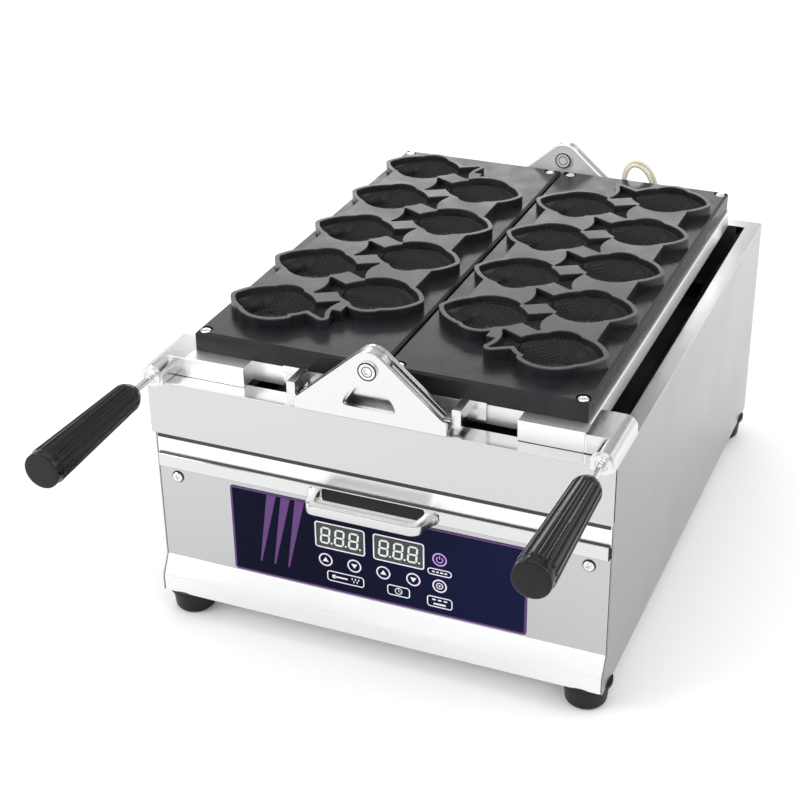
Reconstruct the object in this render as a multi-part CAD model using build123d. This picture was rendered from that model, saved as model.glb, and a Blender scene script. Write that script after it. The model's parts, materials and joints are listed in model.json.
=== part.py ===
from build123d import *

import math
import os

# Countertop fish-cake maker: two book-fold mould halves over a stainless cabinet with a crumb drawer.
# Lengths are millimetres and +Z is up. While a piece is drawn, y is measured from the front lip of the base
# and x from the middle of the cabinet. save() then moves it to the machine's own origin, its bottom centre.

os.makedirs("parts", exist_ok=True)

# ------------------------------------------------------------------ driving dimensions
# Cabinet
CABINET_WIDTH = 400.0
CABINET_DEPTH = 508.0
DECK_HEIGHT = 230.0
SHEET = 1.2
FOOT_HEIGHT = 23.0
LIP_HEIGHT = 15.0
SLOPE_HEIGHT = 17.0
LIP_PROUD = 10.0
APRON_HEIGHT = 50.0
APRON_PROUD = 5.0
APRON_BEND = 1.1
STRIP_LAP = 8.0
SEAM_GAP = 0.3
FOLD_STEP = 0.4

# Well in the deck
FRONT_RIM = 20.0
REAR_RIM = 16.0
SIDE_RIM = 13.5
RIM_SLOPE = 8.5
WELL_DEPTH = 62.0
WELL_FLANGE = 12.0

# Crumb drawer
DRAWER_HEIGHT = 12.5
DRAWER_DROP = 71.5
DRAWER_FRONT_THICK = 3.0
DRAWER_FRONT_EDGE = 0.9
DRAWER_END_MARGIN = 3.0
DRAWER_REAR_MARGIN = 38.0
DRAWER_SHEET = 1.0
DRAWER_SIDE_PLAY = 1.0
DRAWER_LAP = 1.5
DRAWER_PLAY = 0.3
HANDLE_SPAN = 110.0
HANDLE_PROJECTION = 25.0
HANDLE_TAPER = 7.0
HANDLE_STRAP = 9.0
HANDLE_THICK = 2.5
HANDLE_BEND = 9.0
RUNNER_THICK = 1.5
RUNNER_LEDGE = 9.0
RUNNER_RISE = 2.5

# Hinge
AXIS_RISE = 45.0
BRACKET_HALF_WIDTH = 65.0
BRACKET_APEX_RADIUS = 15.5
BRACKET_END_HEIGHT = 9.0
BRACKET_CHEEK = 4.0
BRACKET_CHANNEL = 8.0
BRACKET_FLOOR = 3.0
WINDOW_HALF_WIDTH = 23.0
WINDOW_SILL = 11.0
WINDOW_HEIGHT = 19.5
WINDOW_CORNER = 2.5
PIVOT_RADIUS = 5.0
PIVOT_CLEARANCE = 0.05
PIVOT_HEAD_RADIUS = 8.0
PIVOT_HEAD_THICK = 2.0
PIVOT_HEAD_EDGE = 0.8
PIVOT_SOCKET_RADIUS = 3.2
PIVOT_SOCKET_DEPTH = 3.0
PIVOT_NUT_RADIUS = 7.5
PIVOT_NUT_THICK = 2.4
ARM_THICK = 3.0
ARM_SIDE_GAP = 0.5
ARM_EYE_RADIUS = 15.0
WASHER_RADIUS = 14.5
ARM_SINK = 5.0
ARM_FLOOR_GAP = 0.5
ARM_WEB_START = 28.0
ARM_TAB_LENGTH = 14.0
ARM_TAB_HEIGHT = 12.0
ARM_TAB_CORNER = 1.8
ARM_PLATE_THICK = 2.4
ARM_PLATE_LENGTH = 28.0
ARM_PLATE_RISE = 1.0
FRONT_TAB_X = 66.0
FRONT_TAB_DROP = 31.0
REAR_TAB_X = 58.0
REAR_TAB_DROP = 24.0
BRACKET_SCREW_X = 50.0
BRACKET_SCREW_RADIUS = 2.5
BRACKET_HEAD_THICK = 4.0

# Mould halves
PARTING_GAP = 0.5
SEAM_HALF_GAP = 1.0
PLATE_SIDE_MARGIN = 31.4
PLATE_FRONT_MARGIN = 30.0
PLATE_REAR_MARGIN = 20.0
PLATE_THICK = 17.7
BLOCK_HEIGHT = 9.6
FISH_LENGTH = 94.0
FISH_BODY_HEIGHT = 52.0
FISH_CROWN_X = 29.0
FISH_NOSE_RADIUS = 5.0
FISH_WAIST = 17.0
FISH_WAIST_X = 71.0
FISH_TAIL_ROOT = 9.0
FISH_TAIL_SPAN = 42.0
FISH_NOTCH = 8.0
FISH_FIN_REACH = 6.0
BACK_FIN = (12.0, 33.0, 60.0)
BELLY_FIN = (24.0, 38.0, 53.0)
FIN_TIP_DROP = 8.0
FIN_RAKE = 5.0
FISH_CORNER = 1.8
FIN_DEPTH = 8.0
TAIL_DEPTH = 10.0
FISH_DEPTH = 14.0
FISH_DRAFT = 8.0
FISH_ROWS = 5
FISH_RIM = 4.0
FISH_SEAM_MARGIN = 10.0
FISH_OUTER_MARGIN = 7.0
FISH_END_MARGIN = 28.0
SCALLOP_DEPTH = 13.0
PLATE_EDGE_CHAMFER = 2.0
SCREW_BLOCK_GAP = 3.0

# Frame below each mould
FRAME_WALL = 1.5
FRAME_BEND = 1.2
FRAME_PROUD = 2.2
REST_GAP = 0.3
FRAME_FLANGE = 16.0
COVER_THICK = 1.2
HEATER_RADIUS = 4.0
HEATER_BEND = 16.0
HEATER_END_MARGIN = 26.0
SENSOR_RADIUS = 2.5
SENSOR_LENGTH = 70.0
INSIDE_GAP = 0.2
MOULD_SCREW_INSET = 6.5
MOULD_SCREW_RADIUS = 2.5
MOULD_HEAD_RADIUS = 4.6
MOULD_HEAD_THICK = 2.4
MOULD_HEAD_CHAMFER = 0.7
MOULD_COUNTERBORE_RADIUS = 6.0
LEDGE_WIDTH = 53.3
LEDGE_REACH = 15.4

# Handle lugs, rods and grips
LUG_INSET = 9.0
LUG_RISE = 7.0
LUG_RADIUS = 9.8
LUG_WALL = 2.2
LUG_OVERHANG = 6.0
LUG_LAP = 26.0
LUG_END_WALL = 5.0
LUG_DECK_GAP = 0.8
BOSS_RADIUS = 8.2
BOSS_PROUD = 2.5
BOSS_HOLE_RADIUS = 5.2
ROD_RADIUS = 3.0
ROD_TAIL = 14.0
ROD_CLEARANCE = 0.05
ROD_EXPOSED = 33.0
GRIP_LENGTH = 129.0
GRIP_RADIUS = 15.5
GRIP_NECK_RADIUS = 11.0
GRIP_NECK_LENGTH = 8.0
GRIP_SHOULDER_LENGTH = 16.0
GRIP_SHOULDER_STEP = 1.5
GRIP_EDGE = 1.0
GRIP_CAP_LENGTH = 9.0
GRIP_CAP_STEP = 0.8
GRIP_FLUTES = 16
GRIP_FLUTE_RADIUS = 2.0
GRIP_FLUTE_OFFSET = 0.8
ROD_GRIP_MARGIN = 15.5
NUT_GAP = 0.6
NUT_THICK = 8.4

# Front panel
OVERLAY_SIDE_MARGIN = 68.0
OVERLAY_TOP_MARGIN = 5.5
OVERLAY_LOW_MARGIN = 1.5
OVERLAY_THICK = 0.4
OVERLAY_CORNER = 3.0
PANEL_SCREW_INSET = 18.5
PANEL_SCREW_DROP = 9.0
PANEL_SCREW_REACH = 5.0
SCREW_RADIUS = 2.0
SCREW_CLEARANCE = 0.1
SCREW_HEAD_RADIUS = 4.6
SCREW_HEAD_THICK = 2.4
SCREW_HEAD_EDGE = 1.7

# Feet
FOOT_INSET_SIDE = 19.0
FOOT_INSET_FRONT = 20.0
FOOT_INSET_REAR = 20.0
FOOT_FLANGE_RADIUS = 21.5
FOOT_FLANGE_THICK = 3.0
FOOT_STEP = 1.0
FOOT_TOP_RADIUS = 19.0
FOOT_BOTTOM_RADIUS = 17.5
FOOT_BOLT_RADIUS = 3.0
FOOT_BOLT_REACH = 12.0
FOOT_BOLT_HEAD = 4.0
FOOT_BOLT_PLAY = 0.2
FOOT_EDGE_RADIUS = 4.5

# Rear
GLAND_RADIUS = 11.0
GLAND_THREAD_RADIUS = 6.6
GLAND_BORE_RADIUS = 4.4
GLAND_DOME_RADIUS = 9.4
GLAND_DOME_FILLET = 3.3
GLAND_REACH = 18.0
GLAND_HEXAGON = 5.4
GLAND_TAIL = 2.0
GLAND_HOLE_PLAY = 0.2
GLAND_X = -120.0
GLAND_Z = 70.0
LOUVRE_COUNT = 6
LOUVRE_LENGTH = 70.0
LOUVRE_WIDTH = 4.0
LOUVRE_PITCH = 12.0
LOUVRE_OFFSET = 49.0
LOUVRE_START = 40.0

# Inside the cabinet
HEAT_SHIELD_DROP = 6.0
BOARD_SIDE_MARGIN = 22.0
BOARD_END_MARGIN = 9.0
BOARD_THICK = 1.6
BOARD_STANDOFF = 9.0
TRANSFORMER = (28.0, 16.0, 20.0)
RELAY_BOX = (36.0, 22.0, 30.0)
BOARD_EDGE = 20.0
BOARD_SEAT = 12.0
DISPLAY_WIDTH = 42.0
DISPLAY_HEIGHT = 20.0
DISPLAY_PITCH = 53.0
DISPLAY_CENTRE_X = -5.5
DISPLAY_RISE = 12.5
SHIELD_SETBACK = 30.0
SINK_X = 40.0
SINK_LENGTH = 84.0
SINK_HEIGHT = 34.0
SINK_BASE = 5.0
SINK_FINS = 7
FIN_THICK = 2.4
TERMINALS = 5
TERMINAL_PITCH = 12.0
TERMINAL_BODY = (60.0, 24.0, 12.0)
TERMINAL_POST = (9.0, 12.0, 8.0)
TERMINAL_SETBACK = 66.0

# Heater lead behind the right half
LEAD_DIAMETER = 4.8
BEND_SHARE = 0.45
LEAD_SPAN = 33.0
LEAD_REAR_MARGIN = 8.0
LEAD_TAB_OFFSET = 5.0
LEAD_TAB_REACH = 4.3
LEAD_LEAN = 0.3
LEAD_BOW = 0.5
GROMMET_RADIUS = 6.5
GROMMET_THICK = 3.0
GROMMET_LIP = 1.8
LEAD_GLAND_WALL = 1.4
LEAD_END_GAP = 0.1

# ------------------------------------------------------------------ derived values
BASE_Z = FOOT_HEIGHT
LIP_TOP_Z = BASE_Z + LIP_HEIGHT
SLOPE_TOP_Z = LIP_TOP_Z + SLOPE_HEIGHT
PANEL_Y = LIP_PROUD
APRON_Y = PANEL_Y - APRON_PROUD
APRON_BOTTOM_Z = DECK_HEIGHT - APRON_HEIGHT
DRAWER_TOP_Z = DECK_HEIGHT - DRAWER_DROP
DRAWER_BOTTOM_Z = DRAWER_TOP_Z - DRAWER_HEIGHT
DRAWER_DEPTH = CABINET_DEPTH - DRAWER_REAR_MARGIN
HALF_WIDTH = CABINET_WIDTH / 2
FOOT_X = HALF_WIDTH - FOOT_INSET_SIDE
OVERLAY_WIDTH = CABINET_WIDTH - 2 * OVERLAY_SIDE_MARGIN
OVERLAY_TOP_Z = DRAWER_BOTTOM_Z - OVERLAY_TOP_MARGIN
OVERLAY_HEIGHT = OVERLAY_TOP_Z - SLOPE_TOP_Z - OVERLAY_LOW_MARGIN
OVERLAY_CENTRE_Z = OVERLAY_TOP_Z - OVERLAY_HEIGHT / 2
PANEL_SCREW_X = HALF_WIDTH - PANEL_SCREW_INSET
PANEL_SCREW_Z = DRAWER_BOTTOM_Z - PANEL_SCREW_DROP
BOARD_WIDTH = OVERLAY_WIDTH - 2 * BOARD_SIDE_MARGIN
BOARD_HEIGHT = OVERLAY_HEIGHT - 2 * BOARD_END_MARGIN
DISPLAY_Z = OVERLAY_CENTRE_Z + DISPLAY_RISE
WELL_FRONT_Y = APRON_Y + FRONT_RIM
WELL_REAR_Y = CABINET_DEPTH - REAR_RIM
WELL_X = HALF_WIDTH - SIDE_RIM - RIM_SLOPE
WELL_BOTTOM_Z = DECK_HEIGHT - WELL_DEPTH
INNER_X = HALF_WIDTH - SHEET
OPENING_BOTTOM_Z = DRAWER_BOTTOM_Z + DRAWER_LAP
OPENING_TOP_Z = DRAWER_TOP_Z - DRAWER_LAP
BRACKET_DEPTH = 2 * BRACKET_CHEEK + BRACKET_CHANNEL
FRONT_BRACKET_Y = APRON_Y
REAR_BRACKET_Y = CABINET_DEPTH - BRACKET_DEPTH
AXIS_Z = DECK_HEIGHT + AXIS_RISE
PLATE_OUTER_X = HALF_WIDTH - PLATE_SIDE_MARGIN
PLATE_FRONT_Y = APRON_Y + PLATE_FRONT_MARGIN
PLATE_REAR_Y = CABINET_DEPTH - PLATE_REAR_MARGIN
BLOCK_TOP_Z = AXIS_Z - PARTING_GAP / 2
PLATE_TOP_Z = BLOCK_TOP_Z - BLOCK_HEIGHT
PLATE_BOTTOM_Z = PLATE_TOP_Z - PLATE_THICK
FRAME_OUTER_X = PLATE_OUTER_X + FRAME_PROUD
FRAME_BOTTOM_Z = DECK_HEIGHT + REST_GAP
LEDGE_INNER_X = FRAME_OUTER_X - LEDGE_WIDTH
LEDGE_FRONT_Y = PLATE_FRONT_Y - LEDGE_REACH
LUG_X = HALF_WIDTH - LUG_INSET
LUG_Z = DECK_HEIGHT + LUG_RISE
LUG_FRONT_Y = APRON_Y - LUG_OVERHANG
LUG_REAR_Y = PLATE_FRONT_Y + LUG_LAP
GRIP_REAR_Y = LUG_FRONT_Y - ROD_EXPOSED
GRIP_FRONT_Y = GRIP_REAR_Y - GRIP_LENGTH
LEAD_MOVING_X = REAR_TAB_X + LEAD_TAB_OFFSET
LEAD_MOVING_Y = PLATE_REAR_Y + LEAD_TAB_REACH
LEAD_FIXED_X = LEAD_MOVING_X + LEAD_SPAN
LEAD_FIXED_Y = CABINET_DEPTH - LEAD_REAR_MARGIN
FISH_HEIGHT = FISH_BODY_HEIGHT + 2 * FISH_FIN_REACH
FISH_PITCH = (PLATE_REAR_Y - PLATE_FRONT_Y - 2 * FISH_END_MARGIN - FISH_HEIGHT) / (FISH_ROWS - 1)
FISH_FIRST_Y = PLATE_FRONT_Y + FISH_END_MARGIN + FISH_HEIGHT / 2
FISH_SEAM_X = SEAM_HALF_GAP + FISH_SEAM_MARGIN
FISH_OUTER_X = PLATE_OUTER_X - FISH_OUTER_MARGIN
REAR_REACH = CABINET_DEPTH + GLAND_REACH
ORIGIN_Y = (REAR_REACH + GRIP_FRONT_Y) / 2


def save(node, shape):
    """Writes one sub-part, moved to the machine's own origin."""
    export_step(Pos(0, -ORIGIN_Y, 0) * shape, f"parts/{node}.step")


def block(x0, x1, y0, y1, z0, z1):
    """A box between opposite corners."""
    return Pos((x0 + x1) / 2, (y0 + y1) / 2, (z0 + z1) / 2) * Box(x1 - x0, y1 - y0, z1 - z0)


def rod_y(x, z, y0, y1, radius):
    """A round bar along y."""
    return Pos(x, (y0 + y1) / 2, z) * Rot(90, 0, 0) * Cylinder(radius, y1 - y0)


def rod_z(x, y, z0, z1, radius):
    """A round bar along z."""
    return Pos(x, y, (z0 + z1) / 2) * Cylinder(radius, z1 - z0)


def prism_y(face, y0, y1):
    """A face drawn in x and z, made solid from y0 to y1."""
    return extrude(Plane((0, y1, 0), x_dir=(1, 0, 0), z_dir=(0, -1, 0)) * face, y1 - y0)


def prism_x(points, x0, x1):
    """A polygon of (y, z) points, made solid from x0 to x1."""
    face = make_face(Polyline(*points, close=True))
    return extrude(Plane((x0, 0, 0), x_dir=(0, 1, 0), z_dir=(1, 0, 0)) * face, x1 - x0)


def mirrored(shape):
    """The same piece on the left side."""
    return mirror(shape, about=Plane.YZ)


# ------------------------------------------------------------------ cabinet
def base_tray():
    """The floor sheet with its front lip and the sloped band above it, folded up at the rear and sides."""
    profile = [
        (0, BASE_Z),
        (0, LIP_TOP_Z),
        (PANEL_Y, SLOPE_TOP_Z),
        (PANEL_Y + SHEET, SLOPE_TOP_Z),
        (SHEET, LIP_TOP_Z - FOLD_STEP),
        (SHEET, BASE_Z + SHEET),
        (CABINET_DEPTH - SHEET - SEAM_GAP, BASE_Z + SHEET),
        (CABINET_DEPTH - SHEET - SEAM_GAP, BASE_Z),
    ]
    inner = HALF_WIDTH - SHEET - SEAM_GAP
    tray = prism_x(profile, -inner, inner)
    for x in (-FOOT_X, FOOT_X):
        for y in foot_rows():
            tray -= rod_z(x, y, BASE_Z, BASE_Z + SHEET, FOOT_BOLT_RADIUS + FOOT_BOLT_PLAY)
    return tray


def foot_rows():
    """The y of the front and rear feet."""
    return (FOOT_INSET_FRONT, CABINET_DEPTH - FOOT_INSET_REAR)


def side_panel():
    """The right side sheet: its front edge follows the lip, the slope and the front panel."""
    outline = [
        (0, BASE_Z),
        (0, LIP_TOP_Z),
        (PANEL_Y, SLOPE_TOP_Z),
        (PANEL_Y, DECK_HEIGHT - SHEET),
        (CABINET_DEPTH, DECK_HEIGHT - SHEET),
        (CABINET_DEPTH, BASE_Z),
    ]
    return prism_x(outline, INNER_X, HALF_WIDTH)


def rear_panel():
    """The rear sheet with two rows of louvre slots and the hole for the mains cable gland."""
    inner = HALF_WIDTH - SHEET - SEAM_GAP
    panel = block(-inner, inner, CABINET_DEPTH - SHEET, CABINET_DEPTH, BASE_Z, DECK_HEIGHT - SHEET)
    slot = SlotOverall(LOUVRE_LENGTH, LOUVRE_WIDTH)
    for x in (-LOUVRE_OFFSET, LOUVRE_OFFSET):
        for row in range(LOUVRE_COUNT):
            z = BASE_Z + LOUVRE_START + row * LOUVRE_PITCH
            panel -= prism_y(Pos(x, z) * slot, CABINET_DEPTH - SHEET, CABINET_DEPTH)
    hole = GLAND_THREAD_RADIUS + GLAND_HOLE_PLAY
    return panel - rod_y(GLAND_X, GLAND_Z, CABINET_DEPTH - SHEET, CABINET_DEPTH, hole)


def deck():
    """The top sheet: flat rim, side flanges sloping into the well, and the apron folded down in front."""
    top = DECK_HEIGHT
    rim_x = HALF_WIDTH - SIDE_RIM
    sheet = block(-HALF_WIDTH, HALF_WIDTH, APRON_Y, CABINET_DEPTH, top - SHEET, top)
    sheet -= block(-rim_x, rim_x, WELL_FRONT_Y, WELL_REAR_Y, top - SHEET, top)
    sheet += block(-HALF_WIDTH, HALF_WIDTH, APRON_Y, APRON_Y + SHEET, APRON_BOTTOM_Z, top)
    sheet += block(-HALF_WIDTH, HALF_WIDTH, APRON_Y, PANEL_Y, APRON_BOTTOM_Z, APRON_BOTTOM_Z + SHEET)
    front_edge = sheet.edges().filter_by(Axis.X).sort_by(Axis.Y)[0:4].sort_by(Axis.Z)[-1]
    sheet = fillet(front_edge, APRON_BEND)
    slope = make_face(
        Polyline(
            (rim_x, top),
            (rim_x - RIM_SLOPE, top - RIM_SLOPE),
            (rim_x - RIM_SLOPE, top - RIM_SLOPE - SHEET),
            (rim_x, top - SHEET),
            close=True,
        )
    )
    flange = prism_y(slope, WELL_FRONT_Y, WELL_REAR_Y)
    sheet += flange + mirrored(flange)
    for side in (-1, 1):
        sheet -= rod_z(side * LEAD_FIXED_X, LEAD_FIXED_Y, top - SHEET, top, GROMMET_RADIUS - GROMMET_LIP)
        for bracket_y in (FRONT_BRACKET_Y, REAR_BRACKET_Y):
            x, y = side * BRACKET_SCREW_X, bracket_y + BRACKET_DEPTH / 2
            sheet -= rod_z(x, y, top - SHEET, top, BRACKET_SCREW_RADIUS + SCREW_CLEARANCE)
    return sheet


def well_liner():
    """The open box below the moulds, its walls hung under the deck and its floor open over the crumb tray."""
    end_top = DECK_HEIGHT - SHEET
    side_top = end_top - RIM_SLOPE
    outer_x = WELL_X + SHEET
    liner = block(-outer_x, outer_x, WELL_FRONT_Y - SHEET, WELL_REAR_Y + SHEET, WELL_BOTTOM_Z, end_top)
    liner -= block(-WELL_X, WELL_X, WELL_FRONT_Y, WELL_REAR_Y, WELL_BOTTOM_Z + SHEET, end_top)
    for x0, x1 in ((-outer_x, -WELL_X), (WELL_X, outer_x)):
        liner -= block(x0, x1, WELL_FRONT_Y - SHEET, WELL_REAR_Y + SHEET, side_top, end_top)
    floor_x = WELL_X - WELL_FLANGE
    floor_y = (WELL_FRONT_Y + WELL_FLANGE, WELL_REAR_Y - WELL_FLANGE)
    return liner - block(-floor_x, floor_x, *floor_y, WELL_BOTTOM_Z, WELL_BOTTOM_Z + SHEET)


def front_panel():
    """The lower front sheet between the base slope and the drawer, with two display windows cut in it."""
    inner = INNER_X - SEAM_GAP
    y0, y1 = PANEL_Y, PANEL_Y + SHEET
    panel = block(-inner, inner, y0, y1, SLOPE_TOP_Z, OPENING_BOTTOM_Z)
    for x in display_centres():
        window = block(x - DISPLAY_WIDTH / 2, x + DISPLAY_WIDTH / 2, y0, y1, *display_z())
        panel -= window
    for side in (-1, 1):
        panel -= rod_y(side * PANEL_SCREW_X, PANEL_SCREW_Z, y0, y1, SCREW_RADIUS + SCREW_CLEARANCE)
    for x, z in standoff_places():
        panel -= rod_y(x, z, y0, y1, SCREW_RADIUS + SCREW_CLEARANCE)
    return panel


def display_centres():
    """The x of the two three-digit displays."""
    return (DISPLAY_CENTRE_X - DISPLAY_PITCH / 2, DISPLAY_CENTRE_X + DISPLAY_PITCH / 2)


def display_z():
    """The bottom and top of the displays."""
    return (DISPLAY_Z - DISPLAY_HEIGHT / 2, DISPLAY_Z + DISPLAY_HEIGHT / 2)


def standoff_places():
    """The x and z of the control board's four standoffs."""
    dx = BOARD_WIDTH / 2 - 3 * SCREW_RADIUS
    dz = BOARD_HEIGHT / 2 - 2 * SCREW_RADIUS
    return [(sx * dx, OVERLAY_CENTRE_Z + sz * dz) for sx in (-1, 1) for sz in (-1, 1)]


def front_strip():
    """The narrow fixed strip above the drawer; its top edge lies behind the apron's return."""
    inner = INNER_X - SEAM_GAP
    return block(-inner, inner, PANEL_Y, PANEL_Y + SHEET, OPENING_TOP_Z, APRON_BOTTOM_Z + STRIP_LAP)


def control_overlay():
    """The printed membrane stuck on the front panel."""
    face = RectangleRounded(OVERLAY_WIDTH, OVERLAY_HEIGHT, OVERLAY_CORNER)
    return prism_y(Pos(0, OVERLAY_CENTRE_Z) * face, PANEL_Y - OVERLAY_THICK, PANEL_Y)


def control_board():
    """The circuit board on four standoffs behind the front panel, with its transformer and relay."""
    y0 = PANEL_Y + SHEET + BOARD_STANDOFF
    half = BOARD_WIDTH / 2
    z0 = OVERLAY_CENTRE_Z - BOARD_HEIGHT / 2
    board = block(-half, half, y0, y0 + BOARD_THICK, z0, z0 + BOARD_HEIGHT)
    for x, z in standoff_places():
        board += rod_y(x, z, PANEL_Y + SHEET, y0, 2 * SCREW_RADIUS)
    rear, seat = y0 + BOARD_THICK, z0 + BOARD_SEAT
    width, depth, height = TRANSFORMER
    x1 = half - BOARD_EDGE
    board += block(x1 - width, x1, rear, rear + depth, seat, seat + height)
    width, depth, height = RELAY_BOX
    x0 = BOARD_EDGE - half
    return board + block(x0, x0 + width, rear, rear + depth, seat, seat + height)


def led_displays():
    """Two three-digit modules, each standing on the board and reaching through its window."""
    modules = Part()
    play = SCREW_CLEARANCE
    bottom, top = display_z()
    for x in display_centres():
        half = DISPLAY_WIDTH / 2 - play
        rear = PANEL_Y + SHEET + BOARD_STANDOFF
        modules += block(x - half, x + half, PANEL_Y, rear, bottom + play, top - play)
    return modules


def pan_head(x, z, y, reach):
    """A pan-head screw along y whose head stands in front of y."""
    head = rod_y(x, z, y - SCREW_HEAD_THICK, y, SCREW_HEAD_RADIUS)
    head = fillet(head.edges().sort_by(Axis.Y)[0], SCREW_HEAD_EDGE)
    return head + rod_y(x, z, y, y + reach, SCREW_RADIUS)


def panel_screws():
    """The two pan heads at the top corners of the front panel."""
    screws = Part()
    for side in (-1, 1):
        screws += pan_head(side * PANEL_SCREW_X, PANEL_SCREW_Z, PANEL_Y, PANEL_SCREW_REACH)
    return screws


def heat_shield():
    """The plate between the crumb drawer and the electrics, resting between the side panels."""
    top = OPENING_BOTTOM_Z - RUNNER_THICK - HEAT_SHIELD_DROP
    y0 = PANEL_Y + SHEET + BOARD_STANDOFF + BOARD_THICK + SHIELD_SETBACK
    return block(-INNER_X, INNER_X, y0, CABINET_DEPTH - SHEET, top - SHEET, top)


def runner():
    """The right drawer runner: an angle on the side panel whose ledge carries the tray."""
    y0, y1 = PANEL_Y + SHEET + SEAM_GAP, DRAWER_DEPTH
    top = OPENING_BOTTOM_Z
    upright = block(INNER_X - RUNNER_THICK, INNER_X, y0, y1, top - RUNNER_THICK, DRAWER_TOP_Z + RUNNER_RISE)
    return upright + block(INNER_X - RUNNER_LEDGE, INNER_X, y0, y1, top - RUNNER_THICK, top)


def terminal_block():
    """The mains terminals on the base tray, in line with the cable gland."""
    z0 = BASE_Z + SHEET
    width, depth, height = TERMINAL_BODY
    y1 = CABINET_DEPTH - TERMINAL_SETBACK
    body = block(GLAND_X - width / 2, GLAND_X + width / 2, y1 - depth, y1, z0, z0 + height)
    post_width, post_depth, post_height = TERMINAL_POST
    middle_y, top = y1 - depth / 2, z0 + height
    post = Pos(GLAND_X, middle_y, top + post_height / 2) * Box(post_width, post_depth, post_height)
    for n in range(TERMINALS):
        body += Pos((n - (TERMINALS - 1) / 2) * TERMINAL_PITCH, 0, 0) * post
    return body


def relay_heatsink():
    """The finned heat sink of the heater relays, standing on the base tray."""
    z0 = BASE_Z + SHEET
    y0 = CABINET_DEPTH / 2
    sink = block(SINK_X, SINK_X + SINK_LENGTH, y0, y0 + SINK_LENGTH, z0, z0 + SINK_BASE)
    pitch = SINK_LENGTH / SINK_FINS
    for n in range(SINK_FINS):
        x0 = SINK_X + pitch * (n + 0.5) - FIN_THICK / 2
        sink += block(x0, x0 + FIN_THICK, y0, y0 + SINK_LENGTH, z0 + SINK_BASE, z0 + SINK_HEIGHT)
    return sink


def foot(x, y):
    """One rubber foot: flange under the base, tapered body, rounded ground edge, bolt hole."""
    top = BASE_Z
    r0, r1, r2 = FOOT_FLANGE_RADIUS, FOOT_TOP_RADIUS, FOOT_BOTTOM_RADIUS
    neck = top - FOOT_FLANGE_THICK
    waist = neck - FOOT_STEP
    soft = FOOT_EDGE_RADIUS
    outline = [Line((0, top), (r0, top)), Line((r0, top), (r0, neck)), Line((r0, neck), (r1, waist))]
    outline += [Line((r1, waist), (r2, soft)), TangentArc((r2, soft), (r2 - soft, 0), tangent=(0, -1))]
    outline += [Line((r2 - soft, 0), (0, 0)), Line((0, 0), (0, top))]
    body = revolve(Plane.XZ * make_face(outline), Axis.Z)
    return Pos(x, y, 0) * body - rod_z(x, y, top - FOOT_BOLT_REACH, top, FOOT_BOLT_RADIUS + FOOT_BOLT_PLAY)


def foot_bolts():
    """The four bolts that hold the feet, their heads inside the base tray."""
    bolts = Part()
    for x in (-FOOT_X, FOOT_X):
        for y in foot_rows():
            z = BASE_Z + SHEET
            bolts += rod_z(x, y, BASE_Z - FOOT_BOLT_REACH, z, FOOT_BOLT_RADIUS)
            bolts += rod_z(x, y, z, z + FOOT_BOLT_HEAD, 2 * FOOT_BOLT_RADIUS)
    return bolts


def cable_gland():
    """The mains inlet: a nylon gland with a hexagon, a domed nut and a locknut inside, its bore empty."""
    outside, inside = CABINET_DEPTH, CABINET_DEPTH - SHEET
    nut_y = inside - GLAND_HEXAGON
    dome_y = outside + GLAND_HEXAGON
    end = outside + GLAND_REACH
    tail = nut_y - GLAND_TAIL
    gland = rod_y(GLAND_X, GLAND_Z, tail, end, GLAND_THREAD_RADIUS)
    hexagon = Pos(GLAND_X, GLAND_Z) * RegularPolygon(GLAND_RADIUS, 6)
    gland += prism_y(hexagon, outside, dome_y) + prism_y(hexagon, nut_y, inside)
    dome = rod_y(GLAND_X, GLAND_Z, dome_y, end, GLAND_DOME_RADIUS)
    gland += fillet(dome.edges().sort_by(Axis.Y)[-1], GLAND_DOME_FILLET)
    return gland - rod_y(GLAND_X, GLAND_Z, tail, end, GLAND_BORE_RADIUS)


# ------------------------------------------------------------------ crumb drawer
def crumb_tray():
    """The shallow open tray that slides on the runners."""
    half = INNER_X - RUNNER_THICK - DRAWER_SIDE_PLAY
    z0 = OPENING_BOTTOM_Z + DRAWER_PLAY
    z1 = OPENING_TOP_Z - DRAWER_PLAY
    y0, y1 = PANEL_Y, DRAWER_DEPTH
    tray = block(-half, half, y0, y1, z0, z1)
    t = DRAWER_SHEET
    return tray - block(-half + t, half - t, y0 + t, y1 - t, z0 + t, z1)


def drawer_front():
    """The bar across the front of the drawer, overlapping the opening."""
    half = HALF_WIDTH - DRAWER_END_MARGIN
    bar = block(-half, half, PANEL_Y - DRAWER_FRONT_THICK, PANEL_Y, DRAWER_BOTTOM_Z, DRAWER_TOP_Z)
    return fillet(bar.edges().filter_by(Axis.X).sort_by(Axis.Y)[:2], DRAWER_FRONT_EDGE)


def drawer_handle():
    """A flat strap bent to a rounded trapezoid, its ends welded to the drawer front."""
    front_y = PANEL_Y - DRAWER_FRONT_THICK
    half = HANDLE_SPAN / 2
    path = [
        (-half, front_y + HANDLE_THICK),
        (-half + HANDLE_TAPER, front_y - HANDLE_PROJECTION),
        (half - HANDLE_TAPER, front_y - HANDLE_PROJECTION),
        (half, front_y + HANDLE_THICK),
    ]
    line = FilletPolyline(*path, radius=HANDLE_BEND)
    strip = trace(line, line_width=HANDLE_THICK)
    z0 = (DRAWER_BOTTOM_Z + DRAWER_TOP_Z - HANDLE_STRAP) / 2
    strap = extrude(Plane((0, 0, z0)) * strip, HANDLE_STRAP, dir=(0, 0, 1))
    behind = block(-HALF_WIDTH, HALF_WIDTH, front_y, front_y + 2 * HANDLE_THICK, z0, z0 + HANDLE_STRAP)
    return strap - behind


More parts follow.
